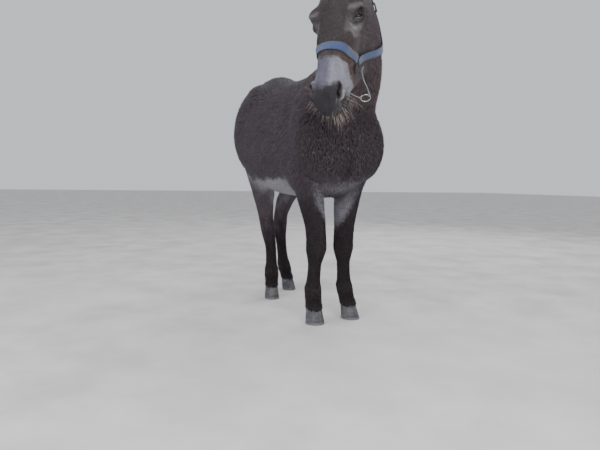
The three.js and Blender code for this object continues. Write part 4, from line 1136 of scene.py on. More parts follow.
def scatter(surface, total, rng):
    """Roots spread over the faces by density: even steps through the running sum of area, jittered.

    Returns for each root its face's three corners and its place between them.
    """
    quads = surface["quads"]
    triangles = np.vstack([quads[:, [0, 1, 2]], quads[:, [0, 2, 3]]])
    order = np.argsort(np.tile(np.arange(len(quads)), 2), kind="stable")
    triangles = triangles[order]
    a, b, c = (surface["points"][triangles[:, k]] for k in range(3))
    area = np.linalg.norm(np.cross(b - a, c - a), axis=1) / 2
    load = np.cumsum(area * surface["density"][triangles].min(axis=1))
    steps = (np.arange(total) + rng.random(total)) * load[-1] / total
    chosen = np.clip(np.searchsorted(load, steps), 0, len(triangles) - 1)
    r, s = np.sqrt(rng.random(total)), rng.random(total)
    mix = np.stack([1 - r, r * (1 - s), r * s], axis=1)
    return triangles[chosen], mix


def tuft_sizes(p, weights, ear, scale):
    """Length and half width of each tuft in mm, by part."""
    q = to_head(p)
    legs = weights[FIRST_LEG:TAIL_PART].sum(axis=0)
    down = 1 - soft(p[:, 2], 260, 640)
    length = 30 - 3 * weights[NECK_PART] - legs * (8 + 8 * down) - 4 * weights[TAIL_PART]
    face = 11 - 5.5 * soft(q[:, 0], 290, 350) + 12 * soft(-q[:, 2], 150, 230)
    length = length + (face - length) * weights[HEAD_PART]
    length = np.where(ear > 0, np.where(ear >= 2, 17, 10), length)
    belly = bump(p[:, 2], 560, 60) * weights[TRUNK_PART]
    feather = legs * (14 * bump(p[:, 2], 150, 28) + 8 * bump(p[:, 2], 84, 14))
    length = length + 8 * belly + feather
    wide = 0.36 + 0.058 * length
    return length * scale, wide


def coat_tufts(total, scale, seed):
    """Every tuft of the coat: roots, a bent spine lying along the skin, its width and its colour."""
    rng = np.random.default_rng(seed)
    surface = dict(skin_surface())
    surface["density"] = tuft_density(surface)
    corners, mix = scatter(surface, total, rng)

    def take(key):
        return np.einsum("ij,ij...->i...", mix, surface[key][corners])

    root = take("points")
    normal = unit(take("normal"))
    lie = take("lie")
    depth = take("depth")
    weights = np.einsum("ij,pij->pi", mix, surface["weights"][:, corners])
    ear = surface["ear"][corners].min(axis=1)
    mixed = (surface["ear"][corners].max(axis=1) >= 2) & (ear < 2)
    length, wide = tuft_sizes(root, weights, ear, scale)
    length = length * rng.uniform(0.75, 1.2, total)

    # direction: the lie of the coat, swung by slow waves and a little at random
    swing = 0.16 * ripple(root, 120, 11) + 0.12 * ripple(root, 40, 12) + rng.normal(0, 0.10, total)
    lie = flat_on(lie, normal)
    across = np.cross(lie, normal)
    lie = lie * np.cos(swing)[:, None] + across * np.sin(swing)[:, None]

    # locks: tips lean towards the middle of their cell
    size = np.maximum(0.62 * length, 5)
    cell = np.floor(root / size[:, None])
    jitter = speckle(cell, 5)
    middle = (cell + 0.25 + 0.5 * jitter) * size[:, None]
    pull = middle - root
    pull -= normal * rows_dot(pull, normal)[:, None]
    pull -= lie * rows_dot(pull, lie)[:, None]
    pull *= 0.42

    def over(place, height):
        """place, moved along the root's normal to a height over the skin."""
        d = in_chunks(skin_field, place)
        d = np.where(ear > 0, 0, d)
        move = np.clip(height - d, -0.6 * length, 0.6 * length)
        return place + normal * move[:, None]

    stand = rng.uniform(0.72, 1.12, total) + 0.08 * ripple(root, 26, 13)
    feather = weights[FIRST_LEG:TAIL_PART].sum(axis=0) * bump(root[:, 2], 128, 32)
    lift = np.where(ear >= 2, 3.5, depth) + 9 * feather
    lift = lift + 2.5 * (weights[NECK_PART] + weights[TRUNK_PART])
    knee = over(root + lie * (0.45 * length)[:, None] + 0.3 * pull, 0.62 * lift * stand)
    tip = over(root + lie * (0.96 * length)[:, None] + pull, lift * stand)
    spine = np.stack([root - normal * 0.8, knee, tip], axis=1)
    keep = ~mixed
    tint = rng.normal(1, 0.09, total) * (1 + 0.12 * (jitter[:, 0] - 0.5))
    frost = rng.random(total) < 0.05
    colour = markings(root, normal, weights, ear) * np.clip(tint, 0.6, 1.5)[:, None]
    dark = colour.max(axis=1) < 0.1
    colour = np.where((frost & dark)[:, None], colour * 1.6 + 0.008, colour)
    warm = rng.normal(0, 0.04, total)
    colour = colour * np.stack([1 + warm, np.ones(total), 1 - warm], axis=1)
    part = np.argmax(weights, axis=0)
    chart = unwrap(root, part, ear)
    group = coat_group(root, part, ear)
    return {"spine": spine[keep], "wide": wide[keep], "normal": normal[keep],
            "colour": colour[keep], "chart": chart[keep], "group": group[keep]}


COAT_GROUPS = ["chest_left", "chest_right", "flank_left", "flank_right", "rump_left", "rump_right",
               "neck_left", "neck_right", "face_left", "face_right", "muzzle",
               "foreleg_left", "foreleg_right", "hindleg_left", "hindleg_right", "ears"]


def coat_group(p, part, ear):
    """Number of the coat piece that a root belongs to, an index of COAT_GROUPS."""
    right = (p[:, 0] < 0).astype(int)
    q = to_head(p)
    trunk = 2 * ((p[:, 1] > -220).astype(int) + (p[:, 1] > 150)) + right
    group = np.where(part == NECK_PART, 6 + (p[:, 0] < -60), trunk)
    group = np.where(part == HEAD_PART, np.where(q[:, 0] > 320, 10, 8 + (q[:, 1] < 0)), group)
    for i in range(4):
        group = np.where(part == FIRST_LEG + i, 11 + i, group)
    group = np.where(part == TAIL_PART, 4 + right, group)
    return np.where(ear > 0, 15, group)


def coat_piece(name, tufts, material):
    """One region's tufts as a joined mesh of closed six-sided slivers, with their OFBake patches."""
    wide = tufts["wide"][:, None]
    points, faces, lock = strands(tufts["spine"], wide, wide * 0.45, tufts["normal"][:, None])
    number = lock[:, 2].astype(int)
    patch = np.stack([lock[:, 0] * 0.35, lock[:, 1] - 0.5], axis=1) * TUFT_PATCH
    lock[:, 2] = speckle(np.stack([number, number * 3 + 1, number * 7], axis=1), 9)[:, 0]
    colour = with_alpha(tufts["colour"])[number]
    return make_piece(name, points, faces, "coat", material,
                      attributes={"coat": colour, "lock": lock},
                      uvs={"OFBake": tufts["chart"][number] + patch})


# ------------------------------------------------------------------------------ tubes and shells
def tube(rings, loop=False, ends=None):
    """Closed surface over rings (rows, around, 3): joined end to end, or capped at two points."""
    rows, around = rings.shape[:2]
    points = rings.reshape(-1, 3)
    row, column = np.arange(rows if loop else rows - 1)[:, None], np.arange(around)
    below, above = row * around, (row + 1) % rows * around
    nxt = (column + 1) % around
    quads = np.stack([below + column, above + column, above + nxt, below + nxt], axis=-1)
    faces = [quads.reshape(-1, 4)]
    if not loop:
        ends = rings[[0, -1]].mean(axis=1) if ends is None else np.array(ends, float)
        count, last = len(points), (rows - 1) * around
        points = np.vstack([points, ends])
        ring = np.arange(around)
        turn = (ring + 1) % around
        faces.append(np.vstack([
            np.stack([np.full(around, count), ring, turn], axis=1),
            np.stack([np.full(around, count + 1), last + turn, last + ring], axis=1)]))
    if volume(points, faces) < 0:
        faces = [f[:, ::-1] for f in faces]
    return points, faces


def volume(points, faces):
    """Signed volume inside a closed mesh, the sum of a . (b x c) / 6 over its triangles."""
    total = 0
    for group in faces:
        for k in range(1, group.shape[1] - 1):
            a, b, c = points[group[:, 0]], points[group[:, k]], points[group[:, k + 1]]
            total += rows_dot(a, np.cross(b, c)).sum() / 6
    return total


def capped(values, rows, around):
    """Attribute rows for a capped tube: those of its rings, then a copy of both end rows' first."""
    values = np.asarray(values).reshape(rows * around, -1)
    return np.vstack([values, values[:1], values[-around:][:1]])


def join(parts):
    """Several (points, faces, attribute) as one, with the faces' numbers moved on."""
    points, groups, marks, count = [], {}, [], 0
    for part_points, faces, attribute in parts:
        points.append(part_points)
        marks.append(attribute)
        for f in faces if isinstance(faces, list) else [faces]:
            groups.setdefault(f.shape[1], []).append(f + count)
        count += len(part_points)
    return np.vstack(points), [np.vstack(g) for g in groups.values()], np.vstack(marks)


def length_along(path):
    """Length of the path from its first point to each of its points."""
    return np.concatenate([[0], np.cumsum(np.linalg.norm(np.diff(path, axis=0), axis=1))])


def smooth_path(knots, count):
    """Evenly spaced points on a Catmull-Rom curve through the knots, ends mirrored."""
    knots = np.array(knots, float)
    padded = np.vstack([2 * knots[0] - knots[1], knots, 2 * knots[-1] - knots[-2]])
    t = np.linspace(0, len(knots) - 1 - 1e-9, 40 * len(knots))
    i, s = t.astype(int), (t % 1)[:, None]
    a, b, c, d = (padded[i + k] for k in range(4))
    curve = 0.5 * (2 * b + (c - a) * s + (2 * a - 5 * b + 4 * c - d) * s * s
                   + (3 * b - a - 3 * c + d) * s**3)
    length = length_along(curve)
    at = np.linspace(0, length[-1], count)
    return np.stack([np.interp(at, length, curve[:, k]) for k in range(3)], axis=1)


def path_frames(path, up, loop=False):
    """Directions along a path, across it, and out, with out as near to up as can be."""
    if loop:
        along = unit(np.roll(path, -1, axis=0) - np.roll(path, 1, axis=0))
    else:
        along = unit(np.gradient(path, axis=0))
    out = unit(up - along * rows_dot(up, along)[:, None])
    return along, np.cross(along, out), out


def round_tube(path, radius, up, around=10, loop=False, flat=1.0):
    """Round or oval section carried along a path: radius in each row, flat its height's share."""
    _, across, out = path_frames(path, up, loop)
    angle = np.linspace(0, 2 * np.pi, around, endpoint=False)
    radius = np.broadcast_to(radius, len(path))[:, None, None]
    section_at = (across[:, None] * np.cos(angle)[None, :, None]
                  + out[:, None] * flat * np.sin(angle)[None, :, None])
    return tube(path[:, None] + section_at * radius, loop)


# ------------------------------------------------------------------------------ eyes
CORNEA_RISE = 1.7
LASH_LENGTH = 13.0


def eye_axes(side):
    """Eye centre, and the axes out of it, along it and up it, in body directions."""
    mirror = np.array([1, side, 1])
    return from_head(EYE * mirror), *((axis * mirror) @ HEAD for axis in (EYE_OUT, EYE_ALONG, EYE_UP))


def eyeball(side, rows=26, around=40):
    """Sphere with the cornea's rise: radius R + rise exp(-(angle / 0.5)^2) off the eye's axis."""
    centre, out, along, up = eye_axes(side)
    bend = np.linspace(0, np.pi, rows + 2)[1:-1]
    turn = np.linspace(0, 2 * np.pi, around, endpoint=False)
    bend, turn = (g[..., None] for g in np.meshgrid(bend, turn, indexing="ij"))
    radius = EYE_RADIUS - 0.3 + CORNEA_RISE * bump(bend, 0, 0.5)
    place = out * np.cos(bend) + (along * np.cos(turn) + up * np.sin(turn)) * np.sin(bend)
    front = EYE_RADIUS - 0.3 + CORNEA_RISE
    ends = [centre + out * front, centre - out * (EYE_RADIUS - 0.3)]
    points, faces = tube(centre + radius * place, ends=ends)
    offset = points - centre
    local = np.stack([offset @ along, offset @ up, offset @ out], axis=1)
    return points, faces, local


def lid_line(side, count, rise=1.6, grow=0.0, part="all"):
    """Points on the edge of the opening between the lids, just over the eyeball."""
    centre, out, along, up = eye_axes(side)
    turn = np.linspace(0, 2 * np.pi, count, endpoint=False)
    if part == "upper":
        turn = np.linspace(0.18, 0.88, count) * np.pi
    if part == "lower":
        turn = -np.linspace(0.25, 0.8, count) * np.pi
    a = (LID_LENGTH + grow) * np.cos(turn)
    height = np.where(np.sin(turn) > 0, LID_ABOVE, LID_BELOW) + grow
    b = height * np.sign(np.sin(turn)) * np.abs(np.sin(turn)) ** 1.5 + LID_SHIFT
    reach = EYE_RADIUS + rise
    o = np.sqrt(np.maximum(reach**2 - a**2 - b**2, 16))
    place = centre + a[:, None] * along + b[:, None] * up + o[:, None] * out
    return place, unit(place - centre)


def lid_rim(side):
    """Bare edge of both lids: an oval tube round the opening, over the eyeball."""
    path, away = lid_line(side, 72)
    points, faces = round_tube(path, 2.5, away, around=10, loop=True, flat=0.75)
    return points, faces, np.zeros((len(points), 3))


def lashes(side, rng):
    """Lashes in a row from the upper lid, curving out and down, with a few from the lower one."""
    groups = []
    for part, count, length, rise in (("upper", 64, LASH_LENGTH, 0.35), ("lower", 26, 7.0, -0.5)):
        root, away = lid_line(side, count, rise=2.6, part=part)
        _, _, along, up = eye_axes(side)
        length = length * rng.uniform(0.7, 1.1, (count, 1))
        swing = along * rng.normal(0.1, 0.22, (count, 1))
        direct = unit(away * 0.9 + up * rise + swing)
        t = np.linspace(0, 1, 5)[None, :, None]
        droop = up * (-0.34 * np.sign(rise) if part == "upper" else 0.1)
        groups.append(root[:, None] + direct[:, None] * t * length[:, None]
                      + droop * t**2 * length[:, None])
    spines = np.vstack(groups)
    wide = np.tile([0.32, 0.26, 0.16], (len(spines), 1))
    return strands(spines, wide, wide, np.tile(eye_axes(side)[3], (len(spines), 3, 1)))


# ------------------------------------------------------------------------------ hooves
HOOF_RINGS, HOOF_AROUND = 30, 48
HOOF_HEIGHT = 71.6


def hoof(leg):
    """Hoof wall from sole to coronet: sloped toe, upright heel, growth rings, rounded lower edge."""
    width, length = HOOF_SIZE[leg.split("_")[0]]
    h = np.linspace(0, 1, HOOF_RINGS)[:, None]
    (x, _), _, _ = AXES[leg](20 + 52 * h[:, 0])
    y0 = LEG_AXES[leg][0][2]
    ring = 0.5 * np.sin(h * 44 + 0.6 * np.sin(h * 9)) * (1 - h) ** 0.3 - 1.6 * bump(h, 0, 0.025)
    ring = ring + 1.1 * bump(h, 0.95, 0.06)
    front = y0 - length * 0.5 + length * 0.34 * h - ring
    back = y0 + length * 0.5 - 0.02 * length * h + ring * 0.4
    half = width / 2 * (1 - 0.16 * h) + ring
    angle = 2 * np.pi * (np.arange(HOOF_AROUND) + 0.5) / HOOF_AROUND
    heel = 1 - 0.14 * soft(np.sin(angle), -0.1, 0.5)
    across = half * np.cos(angle) * heel
    squared = np.sign(np.sin(angle)) * np.abs(np.sin(angle)) ** 0.94
    points = np.stack([x[:, None] + across + 0 * h,
                       (front + back) / 2 + (back - front) / 2 * squared,
                       HOOF_HEIGHT * h + 0 * across], axis=-1)
    low, high = points[0].mean(axis=0), points[-1].mean(axis=0)
    shell, faces = tube(points, ends=[low, high])
    mark = np.stack([h + 0 * across, angle / (2 * np.pi) + 0 * h, 0 * across], axis=-1)
    return shell, faces, capped(mark, HOOF_RINGS, HOOF_AROUND)


# ------------------------------------------------------------------------------ long hair
MANE_FROM, MANE_TO, MANE_HEIGHT, MANE_HALF_WIDTH = 0.2, 0.97, 50.0, 13.0
MANE_LOCKS = 3600
TAIL_HAIR = [(0, 36), (0.35, 23), (0.5, 19), (0.6, 24), (0.7, 30), (0.82, 32), (0.94, 22), (1, 9)]
TAIL_LOCKS = 2600
tail_hair_at = smooth_table(TAIL_HAIR)


def mane_locks(rng):
    """Upright hair along the crest, in rows that lean a little to each side and to the rear."""
    t = MANE_FROM + (MANE_TO - MANE_FROM) * rng.random(MANE_LOCKS)
    centre, side, crest, along = neck_frame(t)
    across = rng.uniform(-1, 1, MANE_LOCKS)
    depth = neck_at(t)[0][1]
    foot = centre + crest * depth[:, None] + side * (across * MANE_HALF_WIDTH * 0.8)[:, None]
    foot = settle(skin_field, foot, 40, rounds=4) - crest * 2
    share = (t - MANE_FROM) / (MANE_TO - MANE_FROM)
    rise = np.minimum(np.minimum(1, 0.25 + 4 * share), 0.55 + 4 * (1 - share))
    rise = rise * MANE_HEIGHT * rng.uniform(0.72, 1.12, MANE_LOCKS) * (1 - 0.25 * across**2) + 9
    lean = 0.16 * across + 0.10 * ripple(foot, 60, 21) + rng.normal(0, 0.05, MANE_LOCKS)
    sweep = -0.10 + 0.10 * ripple(foot, 48, 22) + rng.normal(0, 0.06, MANE_LOCKS)
    direct = unit(crest + side * lean[:, None] + along * sweep[:, None])
    s = np.linspace(0, 1, 6)[None, :, None]
    curl = side * (0.5 * lean)[:, None] + along * (0.6 * sweep)[:, None]
    spines = foot[:, None] + (direct[:, None] * s + curl[:, None] * s * s * 0.8) * rise[:, None, None]
    wide = np.array([1.5, 1.6, 1.3, 0.8]) * rng.uniform(0.7, 1.2, (MANE_LOCKS, 1))
    return strands(spines, wide, wide * 0.6, np.tile(side[:, None], (1, 4, 1)))


def forelock(rng, count=420):
    """The mane's front end, which falls between the ears onto the forehead."""
    u, v = rng.uniform(-18, 34, count), rng.normal(0, 13, count)
    foot = from_head(np.stack([u, v, np.full(count, 0.0)], axis=1))
    foot = settle(skin_field, foot, 30, rounds=5)
    out = unit(gradient(skin_field, foot))
    length = rng.uniform(48, 84, count) * (1 - 0.2 * np.abs(v) / 26)
    spread = HEAD[1] * (0.010 * v + rng.normal(0, 0.10, count))[:, None]
    ahead = flat_on(HEAD[0] + spread, out)
    s = np.linspace(0, 1, 7)[None, :, None]
    rise = 16 * np.sin(np.pi * np.minimum(s * 1.15, 1)) * (1 - 0.35 * s) + 4 * s
    spines = foot[:, None] - out[:, None] * 2 + ahead[:, None] * s * length[:, None, None]
    spines = spines + out[:, None] * rise * rng.uniform(0.5, 1.2, (count, 1, 1))
    wide = np.array([1.2, 1.4, 1.3, 1.1, 0.7]) * rng.uniform(0.7, 1.2, (count, 1))
    return strands(spines, wide, wide * 0.6, np.tile(out[:, None], (1, 5, 1)))


def tail_locks(rng):
    """Long hair from the tail's lower half: each lock keeps its bearing and its share of the width."""
    count = TAIL_LOCKS
    start = rng.uniform(0.36, 0.66, count)
    finish = np.minimum(start + rng.uniform(0.30, 0.5, count), 0.985)
    stations = 8
    s = np.linspace(0, 1, stations)
    t = start[:, None] + (finish - start)[:, None] * s
    place, slope = bezier(TAIL_CURVE, t.reshape(-1))
    along = unit(slope)
    across = np.tile([1.0, 0, 0], (len(along), 1))
    out = np.cross(across, along)
    bearing = rng.uniform(0, 2 * np.pi, count)[:, None] + 0.35 * np.sin(s * 3 + start[:, None] * 40)
    share = np.sqrt(rng.uniform(0.02, 1, count))[:, None]
    clump = 0.10 * np.sin(bearing * 9 + start[:, None] * 11)
    radius = tail_hair_at(t.reshape(-1))[0][0].reshape(t.shape) * (share + clump * s) * 0.93
    core = np.where(t < 0.62, core_at(np.minimum(t, 0.62).reshape(-1))[0][0].reshape(t.shape) - 3, 0)
    radius = np.maximum(radius, core * (1 - s))
    spines = (place.reshape(count, stations, 3)
              + across.reshape(count, stations, 3) * (radius * np.cos(bearing))[..., None]
              + out.reshape(count, stations, 3) * (radius * np.sin(bearing))[..., None])
    wide = np.array([1.3, 1.6, 1.6, 1.5, 1.2, 0.8]) * rng.uniform(0.7, 1.2, (count, 1))
    away = unit(spines[:, 1:-1] - place.reshape(count, stations, 3)[:, 1:-1] + 1e-6)
    return strands(spines, wide, wide * 0.6, away)


# centre (u, v, w) of a patch of long stiff hairs, its radii, how many, their length, and their aim
WHISKER_PATCHES = [
    ((452, 0, -132), (34, 32, 12), 26, 58, (0.75, 0.0, -0.6)),  # chin
    ((474, 22, -104), (14, 18, 16), 8, 50, (0.85, 0.4, -0.4)),  # lower lip, side
    ((446, 42, -96), (32, 12, 22), 9, 58, (0.4, 0.85, -0.4)),  # corner of the lips
    ((480, 18, -84), (12, 22, 18), 5, 24, (0.9, 0.3, -0.1)),  # upper lip
    ((448, 50, -68), (24, 8, 20), 8, 54, (0.35, 0.95, -0.15)),  # side of the nostril
    ((400, 34, -140), (36, 14, 14), 4, 34, (0.2, 0.4, -0.9)),  # under the jaw
    ((170, 60, 12), (10, 8, 4), 3, 26, (-0.1, 0.6, 0.8)),  # over the eye
]


def whiskers(rng):
    """Stiff pale hairs of the muzzle and round the eyes, on both sides, each bowing a little."""
    roots, aims, lengths = [], [], []
    for centre, radii, count, length, aim in WHISKER_PATCHES:
        for side in (1, -1):
            mirror = np.array([1, side, 1])
            spread = rng.uniform(-1, 1, (count, 3)) * radii
            roots.append(from_head((np.array(centre) + spread) * mirror))
            aims.append(np.tile((np.array(aim) * mirror) @ HEAD, (count, 1)))
            lengths.append(length * rng.uniform(0.45, 1.15, count))
    root, aim, length = np.vstack(roots), np.vstack(aims), np.concatenate(lengths)
    root = settle(skin_field, root, 20, rounds=6)
    out = unit(gradient(skin_field, root))
    direct = unit(aim * 0.75 + out * 0.75 + rng.normal(0, 0.2, (len(root), 3)))
    t = np.linspace(0, 1, 6)[None, :, None]
    bow = (np.array([0, 0, -0.16]) + rng.normal(0, 0.08, (len(root), 3)))[:, None]
    spines = root[:, None] + (direct[:, None] * t + bow * t * t) * length[:, None, None]
    wide = np.tile([0.36, 0.32, 0.25, 0.15], (len(root), 1)) * rng.uniform(0.7, 1.15, (len(root), 1))
    return strands(spines, wide, wide, np.tile(out[:, None], (1, 4, 1)))


# ------------------------------------------------------------------------------ headcollar
STRAP_WIDTH, STRAP_THICKNESS, STRAP_CLEAR = 25.0, 3.0, 2.0
BACKING_EXTRA, BACKING_THICKNESS = 4.0, 2.2
BACKING_DROP = 1.4  # how far the padded backing shows below the webbing
CORD_RADIUS = 2.2
CORD_EYE = 1.5  # radius of the cord where it goes round the jaw ring
CORD_LAY = 9  # mm along the cord for one turn of its strands
CORD_STRAND, STRAND_OFFSET, STRAND_AROUND = CORD_RADIUS - 0.85, 0.95, 8
RING_STEPS = 90  # points round the jaw ring, to find where a cord meets it
RING = {"at": (300, 66, -117), "radius": 12.0, "wire": 2.5}
JAW_RING = {"at": (352, 22, -266), "radius": 18.0, "wire": 2.3, "faces": (0.22, 0.5, 0.83)}
BUCKLE = {"at": (55, 64, -161), "along": (14, -4, -10), "length": 31.0, "wire": 2.0}
NOSEBAND = [(303, 66, -98), (302, 64, -66), (298, 52, -22), (296, 27, -4), (295, 0, -2)]
POLL_STRAP = [(48, 66, -156), (16, 64, -134), (-14, 50, -112), (-34, 24, -96), (-38, 0, -92)]
CHEEK_STRAP = [(292, 66, -134), (252, 72, -164), (212, 70, -198), (172, 60, -228),
               (130, 56, -222), (94, 58, -196), (62, 62, -166)]
JAW_CORDS = {
    "left": [(308, 72, -135), (317, 63, -144), (328, 52, -184), (336, 47, -225), (345, 40.6, -261)],
    "right": [(308, -72, -135), (322, -66, -158), (338, -46, -200), (348, -20, -232),
              (355, 2, -252)],
}


def mirrored(knots, side=-1):
    """The same points on the other side of the head."""
    return [(u, side * v, w) for u, v, w in knots]


def both_sides(knots):
    """A path from the left end over the middle to the right end."""
    return knots + mirrored(knots[:-1])[::-1]


def bed_field(p):
    """Distance over the bed that the straps lie on: the coat's outline and a little air."""
    return flesh_parts(p)[0] - STRAP_CLEAR


def coat_normal(p):
    """Direction out of the coat, from a wide difference so that small features don't turn it."""
    return unit(gradient(bed_field, p, 4.0))


def webbing_strip(knots, count, width, thickness, lift=0.0, shift=0.0):
    """A strap laid on the coat: its foot settled on the bed across its whole width, its face
    thickness above that with rounded edges. Its mark is (mm along, mm across, 1 on the face)."""
    path = settle(bed_field, smooth_path(from_head(knots), count), 30, rounds=6)
    out = coat_normal(path)
    along = unit(np.gradient(path, axis=0))
    wide = unit(np.cross(along, out))
    s = np.linspace(-1, 1, 11)
    foot = path[:, None] + wide[:, None] * (s * width / 2 + shift)[None, :, None]
    foot = settle(bed_field, foot.reshape(-1, 3), 12, rounds=4).reshape(foot.shape)
    edge = 0.55 + 0.45 * np.sqrt(1 - s**8)
    base = foot + out[:, None] * (lift + thickness * (1 - edge) / 2)[None, :, None]
    face = foot + out[:, None] * (lift + thickness * (1 + edge) / 2)[None, :, None]
    rings = np.concatenate([base, face[:, ::-1]], axis=1)
    points, faces = tube(rings)
    length = length_along(path)
    across = np.concatenate([s, s[::-1]]) * width / 2
    top = np.repeat([0.0, 1.0], len(s))
    mark = np.stack(np.broadcast_arrays(length[:, None], across, top), axis=-1)
    return points, faces, capped(mark, count, 2 * len(s))


def strap_parts(knots, count, width):
    """Webbing on its narrow padded backing, which shows below its lower edge."""
    webbing = webbing_strip(knots, count, width, STRAP_THICKNESS - 0.8, lift=0.8)
    backing = webbing_strip(knots, count, width + BACKING_EXTRA, BACKING_THICKNESS,
                            shift=BACKING_DROP)
    return webbing, backing


def ring_path(centre, faces_way, radius, count):
    """Evenly spaced points round a circle about an axis."""
    axis = unit(faces_way)
    one = unit(np.cross(axis, [0.31, 0.2, 0.93]))
    two = np.cross(axis, one)
    turn = np.linspace(0, 2 * np.pi, count, endpoint=False)
    return centre + radius * (np.cos(turn)[:, None] * one + np.sin(turn)[:, None] * two)


def ring_piece(centre, faces_way, radius, wire, count=48):
    """Round wire bent into a closed ring about an axis; its mark is (turn, 0, 0)."""
    path = ring_path(centre, faces_way, radius, count)
    up = np.tile(unit(faces_way), (count, 1))
    points, faces = round_tube(path, wire, up, around=14, loop=True)
    turn = np.linspace(0, 2 * np.pi, count, endpoint=False)
    return points, faces, np.repeat(turn, 14)[:, None] * [1, 0, 0]


def buckle_piece(side):
    """Square wire frame over the joint of two straps, with its tongue; its mark is (0, 0, 0)."""
    at = settle(bed_field, from_head(mirrored([BUCKLE["at"]], side)), 20, rounds=6)
    out = coat_normal(at)[0]
    centre = at[0] + out * (STRAP_THICKNESS + BUCKLE["wire"] + 0.4)
    along = flat_on((np.array(mirrored([BUCKLE["along"]], side)) @ HEAD), out[None])[0]
    across = np.cross(out, along)
    turn = np.linspace(0, 2 * np.pi, 48, endpoint=False)
    square = np.stack([np.cos(turn), np.sin(turn)], axis=1)
    square *= (BUCKLE["length"] / 2 / (np.abs(square) ** 7).sum(axis=1) ** (1 / 7))[:, None]
    loop = centre + square @ np.stack([along, across])
    up = np.tile(out, (48, 1))
    frame_part = round_tube(loop, BUCKLE["wire"], up, around=10, loop=True)
    reach = np.linspace(-0.5, 0.56, 9)[:, None] * BUCKLE["length"]
    tongue = centre + along * reach + out * (1.2 + 0.8 * np.cos(reach / 6))
    tongue_part = round_tube(tongue, BUCKLE["wire"] * 0.7, np.tile(out, (9, 1)), around=8)
    return join([(*part, np.zeros((len(part[0]), 3))) for part in (frame_part, tongue_part)])


def cord_piece(knots, count=60):
    """Laid cord: two strands wound round the route, and the eye spliced at its lower end round
    the ring; its mark is (turns along, 0, strand)."""
    path = smooth_path(from_head(knots), count * 2)
    length = length_along(path)
    up = np.tile([0.1, 0.3, 1.0], (len(path), 1))
    _, across, out = path_frames(path, up)
    parts = []
    for strand, phase in ((0, 0.0), (1, np.pi)):
        turn = length / CORD_LAY * 2 * np.pi + phase
        wound = path + (across * np.cos(turn)[:, None] + out * np.sin(turn)[:, None]) * STRAND_OFFSET
        points, faces = round_tube(wound, CORD_STRAND, out, around=STRAND_AROUND)
        mark = np.stack(np.broadcast_arrays(length[:, None] / CORD_LAY, np.zeros(STRAND_AROUND),
                                            strand), axis=-1)
        parts.append((points, faces, capped(mark, len(path), STRAND_AROUND)))
    ring = ring_path(from_head(JAW_RING["at"]), JAW_RING["faces"], JAW_RING["radius"], RING_STEPS)
    near = np.argmin(np.linalg.norm(ring - path[-1], axis=1))
    wire_way = ring[(near + 1) % RING_STEPS] - ring[near - 1]
    points, faces, mark = ring_piece(ring[near], wire_way, JAW_RING["wire"] + CORD_EYE, CORD_EYE, 20)
    return join([*parts, (points, faces, mark)])


def keeper(side):
    """Folded leather loop that holds the cord on the side ring, a short flat strip down the cheek."""
    knots = mirrored([(306, 70, -106), (314, 71, -118), (324, 69, -128), (334, 64, -136)], side)
    path = smooth_path(from_head(knots), 14)
    path = settle(bed_field, path, 12, rounds=4)
    out = coat_normal(path)
    path = path + out * 2.6
    points, faces = round_tube(path, 6.2, out, around=14, flat=0.42)
    mark = np.stack(np.broadcast_arrays(np.linspace(0, 30, 14)[:, None], np.zeros(14), 0.0), axis=-1)
    return points, faces, capped(mark, 14, 14)


# ------------------------------------------------------------------------------ node helpers
class Tree:
    """Adds nodes to a tree in short lines; an input is a value or another node's output socket."""

    def __init__(self, nodes):
        self.tree = nodes

    def add(self, kind, inputs=None, **settings):
        node = self.tree.nodes.new("ShaderNode" + kind)
        for key, value in settings.items():
            setattr(node, key, value)
        for key, value in (inputs or {}).items():
            if isinstance(value, bpy.types.NodeSocket):
                self.tree.links.new(value, node.inputs[key])
            else:
                node.inputs[key].default_value = value
        return node

    def math(self, operation, a, b=0.0, c=0.0):
        """The result socket of a Math node."""
        return self.add("Math", {0: a, 1: b, 2: c}, operation=operation).outputs[0]

    def mix(self, factor, a, b, blend_type="MIX"):
        """The colour socket of a Mix node."""
        node = self.add("Mix", {0: factor, 6: a, 7: b}, data_type="RGBA", blend_type=blend_type)
        return node.outputs[2]

    def range(self, value, low, high, to_low=0.0, to_high=1.0):
        """A value mapped smoothly from one range to another."""
        node = self.add("MapRange", {0: value, 1: low, 2: high, 3: to_low, 4: to_high},
                        interpolation_type="SMOOTHSTEP")
        return node.outputs[0]

    def noise(self, vector, scale, detail=3.0, roughness=0.5):
        """The value socket of a Noise Texture."""
        node = self.add("TexNoise", {"Vector": vector, "Scale": scale, "Detail": detail,
                                     "Roughness": roughness})
        return node.outputs["Fac"]

    def scaled(self, vector, scale):
        """A vector multiplied by another, for stretched patterns."""
        node = self.add("VectorMath", {0: vector, 1: scale}, operation="MULTIPLY")
        return node.outputs[0]

    def attribute(self, name):
        return self.add("Attribute", attribute_name=name)

    def parts(self, vector):
        """The three numbers of a vector."""
        return self.add("SeparateXYZ", {0: vector}).outputs

    def grey(self, value):
        """A value as a colour of that level."""
        return self.add("CombineXYZ", {0: value, 1: value, 2: value}).outputs[0]

    def group(self, name, sockets, build, inputs):
        """Outputs of a shared node group placed here with its own input values."""
        tree = node_group(name, *sockets, build)
        return self.add("Group", inputs, node_tree=tree).outputs


def colour4(c):
    return (*c, 1.0)


